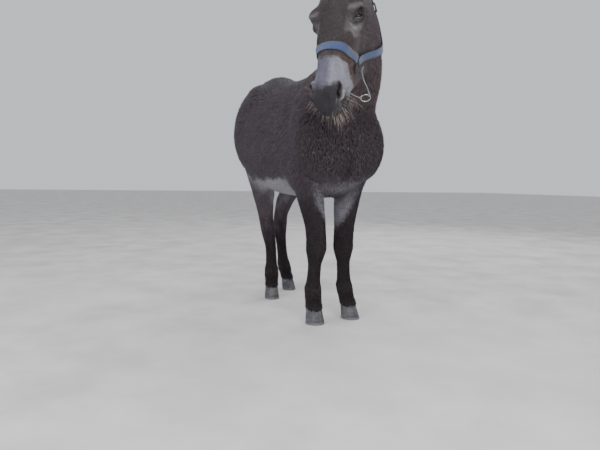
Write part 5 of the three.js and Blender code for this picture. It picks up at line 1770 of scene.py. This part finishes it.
def node_group(name, inputs, outputs, build):
    """The shader node group of this name, made on first use: build(tree, inputs) gives its outputs.

    inputs and outputs are lists of (socket name, socket kind).
    """
    if name in bpy.data.node_groups:
        return bpy.data.node_groups[name]
    tree = bpy.data.node_groups.new(name, "ShaderNodeTree")
    for way, sockets in (("INPUT", inputs), ("OUTPUT", outputs)):
        for label, kind in sockets:
            tree.interface.new_socket(label, in_out=way, socket_type="NodeSocket" + kind)
    given = tree.nodes.new("NodeGroupInput").outputs
    results = build(Tree(tree), given)
    target = tree.nodes.new("NodeGroupOutput").inputs
    for (label, _), result in zip(outputs, results):
        tree.links.new(result, target[label])
    return tree


def hair_streaks(t, given):
    """Single hairs along each lock: colour from dark root to pale tip, roughness, bump height."""
    across, along, number = t.parts(t.attribute("lock").outputs["Vector"])[:3]
    place = t.add("CombineXYZ", {0: t.math("MULTIPLY", across, given["Hairs"]),
                                 1: t.math("MULTIPLY", along, 0.9),
                                 2: t.math("MULTIPLY", number, 37.0)}).outputs[0]
    streak = t.noise(place, 1.0, detail=2.0, roughness=0.6)
    shade = t.range(along, 0.1, 0.85)
    level = t.add("Mix", {0: shade, 2: given["Root shade"], 3: given["Tip shade"]}).outputs[0]
    level = t.math("MULTIPLY", level, t.range(streak, 0.25, 0.75, 0.80, 1.22))
    colour = t.mix(1.0, given["Colour"], t.grey(level), "MULTIPLY")
    return colour, t.range(streak, 0.2, 0.8, 0.62, 0.44), streak


def mottled_grain(t, given):
    """Fine mottling on Object coordinates: a colour with soft dirt on it, its mask, bump height."""
    place = t.add("TexCoord").outputs["Object"]
    broad = t.noise(place, t.math("MULTIPLY", given["Scale"], 0.12), detail=4.0)
    fine = t.noise(place, given["Scale"], detail=3.0, roughness=0.6)
    mask = t.math("MULTIPLY", t.range(broad, 0.42, 0.68), given["Dirt amount"])
    shade = t.grey(t.range(fine, 0.2, 0.8, 0.82, 1.15))
    colour = t.mix(mask, t.mix(1.0, given["Colour"], shade, "MULTIPLY"), given["Dirt"])
    return colour, mask, fine


def webbing_weave(t, given):
    """Plain weave on millimetres along and across: bump height, and the threads' fuzz."""
    one = t.math("DIVIDE", given["Along"], given["Thread"])
    two = t.math("DIVIDE", given["Across"], given["Thread"])
    slant = t.math("ADD", one, t.math("MULTIPLY", two, 0.5))
    ribs = t.math("MULTIPLY", t.math("SINE", t.math("MULTIPLY", two, np.pi)),
                  t.math("SINE", t.math("MULTIPLY", slant, 2 * np.pi)))
    fuzz = t.noise(t.add("CombineXYZ", {0: one, 1: two}).outputs[0], 1.4, detail=3.0)
    return t.math("ADD", ribs, t.math("MULTIPLY", fuzz, 0.6)), fuzz


HAIR_SOCKETS = ([("Colour", "Color"), ("Root shade", "Float"), ("Tip shade", "Float"),
                 ("Hairs", "Float")],
                [("Colour", "Color"), ("Roughness", "Float"), ("Height", "Float")])
GRAIN_SOCKETS = ([("Colour", "Color"), ("Dirt", "Color"), ("Dirt amount", "Float"),
                  ("Scale", "Float")],
                 [("Colour", "Color"), ("Dirt mask", "Float"), ("Height", "Float")])
WEAVE_SOCKETS = ([("Along", "Float"), ("Across", "Float"), ("Thread", "Float")],
                 [("Height", "Float"), ("Fuzz", "Float")])


def new_material(name, **shader):
    """A material's Tree and its Principled shader, with that shader's even values set."""
    material = bpy.data.materials.new(name)
    material.use_nodes = True
    t = Tree(material.node_tree)
    principled = material.node_tree.nodes["Principled BSDF"]
    for key, value in shader.items():
        principled.inputs[key.replace("_", " ")].default_value = value
    return material, t, principled


def finish_shader(t, principled, colour, roughness=None, height=None, strength=0.3, distance=0.0005):
    """Feeds a colour, a roughness and a bump height into the shader."""
    t.tree.links.new(colour, principled.inputs["Base Color"])
    if roughness is not None:
        t.tree.links.new(roughness, principled.inputs["Roughness"])
    if height is not None:
        bump_node = t.add("Bump", {"Height": height, "Strength": strength, "Distance": distance})
        t.tree.links.new(bump_node.outputs[0], principled.inputs["Normal"])


def hair_material(name, root, tip, hairs, colour=None, **shader):
    """Hair from the lock and coat attributes, or of one colour."""
    material, t, principled = new_material(name, **shader)
    base = t.attribute("coat").outputs["Color"] if colour is None else colour4(colour)
    out = t.group("Hair streaks", HAIR_SOCKETS, hair_streaks,
                  {"Colour": base, "Root shade": root, "Tip shade": tip, "Hairs": hairs})
    finish_shader(t, principled, out["Colour"], out["Roughness"], out["Height"], strength=0.5,
                  distance=0.0006)
    return material


def grain(t, colour, dirt, amount, scale):
    """Outputs of the mottled grain group on a colour or a colour socket."""
    if not isinstance(colour, bpy.types.NodeSocket):
        colour = colour4(colour)
    return t.group("Mottled grain", GRAIN_SOCKETS, mottled_grain,
                   {"Colour": colour, "Dirt": colour4(dirt), "Dirt amount": amount,
                    "Scale": scale})


def skin_material():
    """Undercoat and bare skin: the coat's markings, darker as painted shade between the hairs, with a fine
    nap, smoother where bare.
    """
    material, t, principled = new_material("Undercoat", Specular_IOR_Level=0.3)
    marks = t.attribute("coat").outputs["Color"]
    out = grain(t, marks, (0.03, 0.025, 0.022), 0.15, 420.0)
    place = t.add("TexCoord").outputs["Object"]
    nap = t.noise(t.scaled(place, (900.0, 900.0, 260.0)), 1.0, detail=2.0)
    bare = t.attribute("bare").outputs["Fac"]
    rough = t.range(bare, 0.0, 1.0, 0.85, 0.42)
    finish_shader(t, principled, out["Colour"], rough, nap, strength=0.5, distance=0.0015)
    return material


def eye_material():
    """Dark brown iris with its streaks, a long level pupil, a dark rim and a wet clear front."""
    material, t, principled = new_material("Eye", Roughness=0.12, Coat_Weight=0.06,
                                           Coat_Roughness=0.03, Specular_IOR_Level=0.16)
    a, b = t.parts(t.attribute("eye").outputs["Vector"])[:2]
    radius = t.math("SQRT", t.math("ADD", t.math("MULTIPLY", a, a), t.math("MULTIPLY", b, b)))
    pupil_a = t.math("DIVIDE", a, 8.6)
    pupil_b = t.math("DIVIDE", b, 4.2)
    pupil = t.math("SQRT", t.math("ADD", t.math("MULTIPLY", pupil_a, pupil_a),
                                  t.math("MULTIPLY", pupil_b, pupil_b)))
    turn = t.math("ARCTAN2", b, a)
    ray = t.add("CombineXYZ", {0: t.math("MULTIPLY", turn, 7.0), 1: t.math("MULTIPLY", radius, 0.12)})
    streak = t.noise(ray.outputs[0], 2.2, detail=4.0)
    iris = t.mix(streak, colour4((0.007, 0.004, 0.003)), colour4((0.030, 0.015, 0.008)))
    ball = t.mix(t.range(radius, 14.4, 16.2), iris, colour4((0.020, 0.014, 0.012)))
    white = t.mix(t.range(radius, 17.0, 19.0), ball, colour4((0.06, 0.045, 0.04)))
    colour = t.mix(t.range(pupil, 0.92, 1.12), colour4((0.002, 0.003, 0.006)), white)
    finish_shader(t, principled, colour)
    return material


def lid_material():
    """Bare dark skin of the lids' edges, moist and finely creased."""
    material, t, principled = new_material("Lid edge", Specular_IOR_Level=0.6, Coat_Weight=0.15)
    out = grain(t, (0.028, 0.024, 0.025), (0.05, 0.04, 0.04), 0.5, 900.0)
    finish_shader(t, principled, out["Colour"], t.range(out["Height"], 0.2, 0.8, 0.28, 0.5),
                  out["Height"], strength=0.5, distance=0.0006)
    return material


def horn_material(colour):
    """Grey hoof horn: fine upright fibres, growth rings, pale worn lower edge and dry dirt."""
    material, t, principled = new_material("Hoof horn", Specular_IOR_Level=0.35)
    height, turn, _ = t.parts(t.attribute("horn").outputs["Vector"])[:3]
    fibre = t.noise(t.add("CombineXYZ", {0: t.math("MULTIPLY", turn, 260.0),
                                         1: t.math("MULTIPLY", height, 5.0)}).outputs[0], 1.0)
    band = t.noise(t.add("CombineXYZ", {1: t.math("MULTIPLY", height, 16.0),
                                        0: t.math("MULTIPLY", turn, 3.0)}).outputs[0], 1.0)
    base = t.mix(t.range(band, 0.3, 0.7), colour4(np.array(colour) * 0.62), colour4(colour))
    base = t.mix(t.range(fibre, 0.45, 0.75, 0.0, 0.55), base, colour4(np.array(colour) * 1.5))
    base = t.mix(t.range(height, 0.22, 0.0, 0.0, 0.6), base, colour4((0.19, 0.18, 0.165)))
    base = t.mix(t.range(height, 0.86, 0.98, 0.0, 0.75), base, colour4((0.05, 0.045, 0.045)))
    out = grain(t, base, (0.16, 0.145, 0.125), 0.6, 260.0)
    bump_height = t.math("ADD", t.math("MULTIPLY", fibre, 0.6), band)
    finish_shader(t, principled, out["Colour"], t.range(out["Height"], 0.2, 0.8, 0.5, 0.8),
                  bump_height, strength=0.6, distance=0.0008)
    return material


def webbing_material(name, colour, dark):
    """Woven nylon: a close weave, rows of stitches near both edges, fading and grime."""
    material, t, principled = new_material(name, Sheen_Weight=0.25, Sheen_Roughness=0.5,
                                           Specular_IOR_Level=0.35)
    along, across, _ = t.parts(t.attribute("web").outputs["Vector"])[:3]
    weave = t.group("Webbing weave", WEAVE_SOCKETS, webbing_weave,
                    {"Along": along, "Across": across, "Thread": 1.5})
    fuzz = weave["Fuzz"]
    faded = t.mix(t.range(fuzz, 0.3, 0.75), colour4(np.array(colour) * 0.74),
                  colour4(np.minimum(np.array(colour) * 1.28 + 0.01, 1)))
    off_middle = t.math("ABSOLUTE", across)
    line = t.math("SUBTRACT", off_middle, 9.2)
    seam = t.math("LESS_THAN", t.math("ABSOLUTE", line), 0.7)
    stitch = t.math("GREATER_THAN", t.math("SINE", t.math("MULTIPLY", along, 1.7)), -0.55)
    thread = t.math("MULTIPLY", seam, stitch)
    colour_out = t.mix(t.math("MULTIPLY", thread, 0.5), faded, colour4(dark))
    selvedge = t.range(off_middle, 11.2, 12.4)
    colour_out = t.mix(selvedge, colour_out, colour4(dark))
    out = grain(t, colour_out, (0.10, 0.095, 0.085), 0.4, 200.0)
    height = t.math("ADD", weave["Height"], t.math("MULTIPLY", thread, 1.2))
    height = t.math("SUBTRACT", height, t.math("MULTIPLY", seam, 0.8))
    finish_shader(t, principled, out["Colour"], t.range(fuzz, 0.2, 0.8, 0.75, 0.92), height,
                  strength=0.55, distance=0.0006)
    return material


def cord_material(colour):
    """Pale laid cord with a twisted nap and grey wear."""
    material, t, principled = new_material("Cord", Roughness=0.8, Sheen_Weight=0.2)
    turns, _, strand = t.parts(t.attribute("web").outputs["Vector"])[:3]
    place = t.add("CombineXYZ", {0: t.math("MULTIPLY", turns, 40.0), 1: strand}).outputs[0]
    nap = t.noise(place, 1.0, detail=3.0)
    base = t.mix(t.range(nap, 0.3, 0.7), colour4(np.array(colour) * 0.6), colour4(colour))
    out = grain(t, base, (0.16, 0.15, 0.14), 0.6, 300.0)
    finish_shader(t, principled, out["Colour"], None, nap, strength=0.5, distance=0.0005)
    return material


def metal_material(name, colour, worn, roughness):
    """Plated or painted wire: a worn colour shows in patches, rougher where it is dull."""
    material, t, principled = new_material(name, Metallic=1.0)
    out = grain(t, colour, worn, 0.8, 340.0)
    finish_shader(t, principled, out["Colour"],
                  t.range(out["Dirt mask"], 0.0, 0.8, roughness, roughness + 0.3),
                  out["Height"], strength=0.2, distance=0.0003)
    return material


def leather_material():
    """Dark greasy leather with a pebbled grain."""
    material, t, principled = new_material("Dark leather", Specular_IOR_Level=0.5)
    out = grain(t, (0.022, 0.018, 0.020), (0.09, 0.075, 0.065), 0.5, 700.0)
    finish_shader(t, principled, out["Colour"], t.range(out["Height"], 0.2, 0.8, 0.4, 0.65),
                  out["Height"], strength=0.5, distance=0.0008)
    return material


def floor_material(colour):
    """Pale matt floor with a faint unevenness."""
    material, t, principled = new_material("Studio floor", Roughness=0.9, Specular_IOR_Level=0.2)
    out = grain(t, colour, np.array(colour) * 0.97, 0.5, 3.0)
    finish_shader(t, principled, out["Colour"])
    return material


# ------------------------------------------------------------------------------ add-on
def colour_property(name, description, default):
    """A colour setting, in linear light."""
    return bpy.props.FloatVectorProperty(name=name, description=description, subtype="COLOR",
                                         size=3, min=0, max=1, default=default)


class DonkeyCoatSettings(bpy.types.PropertyGroup):
    """Length, closeness and colours of the coat."""

    tufts: bpy.props.IntProperty(
        name="Tufts", description="How many tufts cover the body", default=240000,
        min=10000, max=300000)
    length: bpy.props.FloatProperty(
        name="Length", description="Length of the coat as a share of winter length", default=1.0,
        min=0.3, max=1.3, subtype="FACTOR")
    mane: colour_property("Mane", "Colour of the mane, forelock and tail hair",
                          (0.030, 0.0235, 0.0225))
    whisker: colour_property("Whiskers", "Colour of the stiff hairs of the muzzle",
                             (0.50, 0.42, 0.37))
    horn: colour_property("Hooves", "Colour of the hoof horn", (0.060, 0.061, 0.076))


class DonkeyCollarSettings(bpy.types.PropertyGroup):
    """Size and colours of the headcollar."""

    width: bpy.props.FloatProperty(
        name="Webbing width", description="Width of the straps", default=STRAP_WIDTH * MM,
        min=0.01, max=0.05, unit="LENGTH", subtype="DISTANCE")
    webbing: colour_property("Webbing", "Colour of the straps", (0.036, 0.060, 0.143))
    edge: colour_property("Edge", "Colour of the backing and the stitches", (0.016, 0.022, 0.05))
    cord: colour_property("Cord", "Colour of the cords under the jaw", (0.27, 0.32, 0.33))


class DonkeyStudioSettings(bpy.types.PropertyGroup):
    """Floor, light and lens of the studio."""

    floor: colour_property("Floor", "Colour of the floor", (0.62, 0.61, 0.60))
    floor_size: bpy.props.FloatProperty(
        name="Floor size", description="Length of one side of the floor", default=60.0,
        min=4.0, max=200.0, unit="LENGTH", subtype="DISTANCE")
    sky: bpy.props.FloatProperty(
        name="Sky", description="Strength of the even light from all round", default=0.85,
        min=0.0, max=5.0)
    lens: bpy.props.FloatProperty(
        name="Lens", description="Focal length of the camera", default=30.0, min=10.0, max=200.0,
        unit="CAMERA")


def seeded(number):
    """The same random numbers on every run."""
    return np.random.default_rng(number)


FLESH_NODES = ["forequarters", "barrel", "hindquarters", "neck", "head", "muzzle", "chin",
               "ear_left", "ear_right", "tail_dock"]


class DONKEY_OT_skin(bpy.types.Operator):
    """Build the one skin of body, head, ears, legs and tail"""

    bl_idname = "donkey.skin"
    bl_label = "Skin"

    def execute(self, context):
        surface = skin_surface()
        points, normal, ear = surface["points"], surface["normal"], surface["ear"]
        # the skin takes the coat's markings times 0.8: painted shade between the hairs
        colour = markings(points, normal, surface["weights"], ear) * 0.8
        legs = [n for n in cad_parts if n.startswith(("foreleg", "hindleg"))]
        bare = 1 - soft(face_bareness(to_head(points)), 0, 7)
        make_piece("skin", points, surface["quads"], "coat", skin_material(), FLESH_NODES + legs,
                   attributes={"coat": with_alpha(colour), "bare": bare[:, None] * [1, 1, 1]})
        return {"FINISHED"}


class DONKEY_OT_coat(bpy.types.Operator):
    """Cover the skin with tufts that lie along it, one mesh for each region"""

    bl_idname = "donkey.coat"
    bl_label = "Coat"

    def execute(self, context):
        settings = context.scene.donkey_coat
        tufts = coat_tufts(settings.tufts, settings.length, 1)
        material = hair_material("Coat", 0.80, 1.08, 1.2, Specular_IOR_Level=0.16,
                                 Sheen_Weight=0.05, Sheen_Roughness=0.4)
        for number, name in enumerate(COAT_GROUPS):
            chosen = tufts["group"] == number
            coat_piece(f"coat_{name}", {key: rows[chosen] for key, rows in tufts.items()}, material)
        return {"FINISHED"}


class DONKEY_OT_mane(bpy.types.Operator):
    """Build the upright mane, the forelock and the tail's hair"""

    bl_idname = "donkey.mane"
    bl_label = "Mane and tail"

    def execute(self, context):
        colour = tuple(context.scene.donkey_coat.mane)
        material = hair_material("Mane hair", 0.7, 1.5, 2.0, colour, Specular_IOR_Level=0.35)
        for name, locks, stands_for in (("mane_hair", mane_locks, ["mane"]),
                                        ("forelock", forelock, []),
                                        ("tail_hair", tail_locks, ["tail_tuft"])):
            points, faces, lock = locks(seeded(len(name)))
            lock[:, 2] = np.modf(lock[:, 2] * 0.6180339)[0]
            make_piece(name, points, faces, "mane", material, stands_for,
                       attributes={"lock": lock}, uvs={"OFBake": bake_patches(lock)})
        return {"FINISHED"}


class DONKEY_OT_eyes(bpy.types.Operator):
    """Build both eyeballs, the lids' bare edges and the lashes"""

    bl_idname = "donkey.eyes"
    bl_label = "Eyes"

    def execute(self, context):
        ball, edge = eye_material(), lid_material()
        hair = hair_material("Lashes", 0.9, 1.1, 1.0, (0.02, 0.016, 0.015))
        for side, name in EAR_SIDES:
            points, faces, local = eyeball(side)
            make_piece(f"eyeball_{name}", points, faces, "eye", ball, [f"eye_{name}"],
                       attributes={"eye": local})
            points, faces, _ = lid_rim(side)
            make_piece(f"lid_edge_{name}", points, faces, "coat", edge)
            points, faces, lock = lashes(side, seeded(side + 40))
            make_piece(f"lashes_{name}", points, faces, "coat", hair, attributes={"lock": lock},
                       uvs={"OFBake": bake_patches(lock)})
        return {"FINISHED"}


class DONKEY_OT_hooves(bpy.types.Operator):
    """Build the four hooves"""

    bl_idname = "donkey.hooves"
    bl_label = "Hooves"

    def execute(self, context):
        material = horn_material(tuple(context.scene.donkey_coat.horn))
        for leg in LEGS:
            points, faces, mark = hoof(leg)
            make_piece(f"hoof_wall_{leg}", points, faces, "horn", material, [f"hoof_{leg}"],
                       attributes={"horn": mark})
        return {"FINISHED"}


class DONKEY_OT_whiskers(bpy.types.Operator):
    """Build the long stiff hairs of the muzzle, chin and eyes"""

    bl_idname = "donkey.whiskers"
    bl_label = "Whiskers"

    def execute(self, context):
        colour = tuple(context.scene.donkey_coat.whisker)
        material = hair_material("Whiskers", 0.75, 1.15, 1.0, colour)
        points, faces, lock = whiskers(seeded(60))
        make_piece("whiskers", points, faces, "muzzle", material, attributes={"lock": lock},
                   uvs={"OFBake": bake_patches(lock)})
        return {"FINISHED"}


class DONKEY_OT_headcollar(bpy.types.Operator):
    """Build the headcollar: webbing on its backing, rings, keepers and the cords under the jaw"""

    bl_idname = "donkey.headcollar"
    bl_label = "Headcollar"

    def execute(self, context):
        settings = context.scene.donkey_collar
        webbing = webbing_material("Webbing", tuple(settings.webbing), tuple(settings.edge))
        backing = webbing_material("Backing", tuple(settings.edge), tuple(settings.edge))
        cord = cord_material(tuple(settings.cord))
        plated = metal_material("Jaw ring", (0.55, 0.54, 0.52), (0.22, 0.20, 0.18), 0.25)
        dark = metal_material("Side ring", (0.05, 0.05, 0.055), (0.22, 0.21, 0.20), 0.35)
        leather = leather_material()
        straps = [("noseband", both_sides(NOSEBAND), 76, ["halter_noseband"]),
                  ("poll_strap", both_sides(POLL_STRAP), 64, ["halter_poll_strap"])]
        straps += [(f"cheek_strap_{name}", mirrored(CHEEK_STRAP, side), 60,
                    [f"halter_strap_{name}"]) for side, name in EAR_SIDES]
        for name, knots, count, stands_for in straps:
            face, back = strap_parts(knots, count, settings.width / MM)
            for label, (points, faces, mark), material in (("", face, webbing),
                                                           ("_backing", back, backing)):
                make_piece(f"halter_{name}{label}", points, faces, "webbing", material,
                           [] if label else stands_for, attributes={"web": mark})
        for side, name in EAR_SIDES:
            at = settle(bed_field, from_head(mirrored([RING["at"]], side)), 20, rounds=6)
            out = coat_normal(at)
            centre = at[0] + out[0] * (RING["wire"] + 1.5)
            side_ring = ring_piece(centre, out[0], RING["radius"], RING["wire"])
            for label, built, slot, material, stands_for in (
                    ("side_ring", side_ring, "buckle", dark, [f"halter_ring_{name}"]),
                    ("jaw_cord", cord_piece(JAW_CORDS[name]), "cord", cord,
                     [f"halter_cord_{name}"]),
                    ("strap_buckle", buckle_piece(side), "buckle", dark,
                     [f"halter_buckle_{name}"]),
                    ("keeper", keeper(side), "webbing", leather, [])):
                points, faces, mark = built
                make_piece(f"halter_{label}_{name}", points, faces, slot, material, stands_for,
                           attributes={"web": mark})
        points, faces, mark = ring_piece(from_head(JAW_RING["at"]), JAW_RING["faces"],
                                         JAW_RING["radius"], JAW_RING["wire"])
        make_piece("halter_jaw_ring", points, faces, "ring", plated, ["halter_ring_jaw"],
                   attributes={"web": mark})
        return {"FINISHED"}


CAMERA_PLACE = np.array([-992.6, -2274.1, 616.4])  # in the body's axes, mm
CAMERA_TURN, CAMERA_PITCH, CAMERA_ROLL = 0.4143, -0.0845, 0.0151
# place from the middle of the body (m), size (m), power (W), colour of each soft lamp
LAMPS = [((3.0, 2.2, 3.4), 3.0, 90.0, (1.0, 0.955, 0.92)),
         ((-3.6, -1.4, 2.2), 2.6, 90.0, (0.95, 0.96, 1.0)),
         ((-0.6, -3.4, 2.0), 2.6, 110.0, (0.98, 0.98, 1.0))]


def add_lamp(place, size, power, colour):
    """A square soft lamp aimed at the middle of the donkey."""
    light = bpy.data.lights.new("studio_lamp", "AREA")
    light.energy, light.size, light.color = power, size, colour
    obj = bpy.data.objects.new("studio_lamp", light)
    obj.location = place
    aim = Vector((0, 0, 0.8)) - Vector(place)
    obj.rotation_euler = aim.to_track_quat("-Z", "Y").to_euler()
    bpy.context.scene.collection.objects.link(obj)


def add_camera(lens):
    """A camera in front of the right shoulder, looking slightly down, with a slight roll."""
    pitch, turn, roll = CAMERA_PITCH, CAMERA_TURN, CAMERA_ROLL
    ahead = np.array([np.sin(turn) * np.cos(pitch), np.cos(turn) * np.cos(pitch), np.sin(pitch)])
    level = np.array([np.cos(turn), -np.sin(turn), 0])
    above = np.cross(level, ahead)
    right = level * np.cos(roll) + above * np.sin(roll)
    above = above * np.cos(roll) - level * np.sin(roll)
    data = bpy.data.cameras.new("camera")
    data.lens, data.sensor_width = lens, 36
    camera = bpy.data.objects.new("camera", data)
    matrix = np.eye(4)
    matrix[:3] = np.stack([right, above, -ahead, to_world(CAMERA_PLACE)], axis=1)
    camera.matrix_world = Matrix(matrix.tolist())
    bpy.context.scene.collection.objects.link(camera)
    bpy.context.scene.camera = camera


class DONKEY_OT_studio(bpy.types.Operator):
    """Set up the pale floor, the soft lamps, the even sky and the camera"""

    bl_idname = "donkey.studio"
    bl_label = "Studio"

    def execute(self, context):
        settings = context.scene.donkey_studio
        half = settings.floor_size / 2 / MM
        corners = to_body(np.zeros((1, 3))) + np.array([(-1, -1, 0), (1, -1, 0), (1, 1, 0),
                                                        (-1, 1, 0)]) * half
        floor = make_mesh("studio_floor", corners, np.array([[0, 1, 2, 3]]), smooth=False)
        floor.data.materials.append(floor_material(tuple(settings.floor)))
        world = bpy.data.worlds.new("studio_sky")
        context.scene.world = world
        world.use_nodes = True
        background = world.node_tree.nodes["Background"]
        background.inputs[0].default_value = (0.86, 0.88, 0.92, 1)
        background.inputs[1].default_value = settings.sky
        for lamp in LAMPS:
            add_lamp(*lamp)
        add_camera(settings.lens)
        return {"FINISHED"}


OPERATORS = [DONKEY_OT_skin, DONKEY_OT_coat, DONKEY_OT_mane, DONKEY_OT_eyes, DONKEY_OT_hooves,
             DONKEY_OT_whiskers, DONKEY_OT_headcollar, DONKEY_OT_studio]
SETTINGS = {"donkey_coat": DonkeyCoatSettings, "donkey_collar": DonkeyCollarSettings,
            "donkey_studio": DonkeyStudioSettings}


class DONKEY_PT_sidebar(bpy.types.Panel):
    """The donkey's settings, and a button for each step"""

    bl_label = "Donkey"
    bl_space_type = "VIEW_3D"
    bl_region_type = "UI"
    bl_category = "Donkey"

    def draw(self, context):
        for name, group in SETTINGS.items():
            box = self.layout.box()
            for setting in group.__annotations__:
                box.prop(getattr(context.scene, name), setting)
        for operator in OPERATORS:
            self.layout.operator(operator.bl_idname)


CLASSES = [*SETTINGS.values(), *OPERATORS, DONKEY_PT_sidebar]


def register():
    for item in CLASSES:
        bpy.utils.register_class(item)
    for name, group in SETTINGS.items():
        setattr(bpy.types.Scene, name, bpy.props.PointerProperty(type=group))


def unregister():
    for name in SETTINGS:
        delattr(bpy.types.Scene, name)
    for item in reversed(CLASSES):
        bpy.utils.unregister_class(item)


def main():
    register()
    for operator in OPERATORS:
        step = operator.bl_idname.split(".")[1]
        getattr(bpy.ops.donkey, step)()


if __name__ == "__main__":
    main()
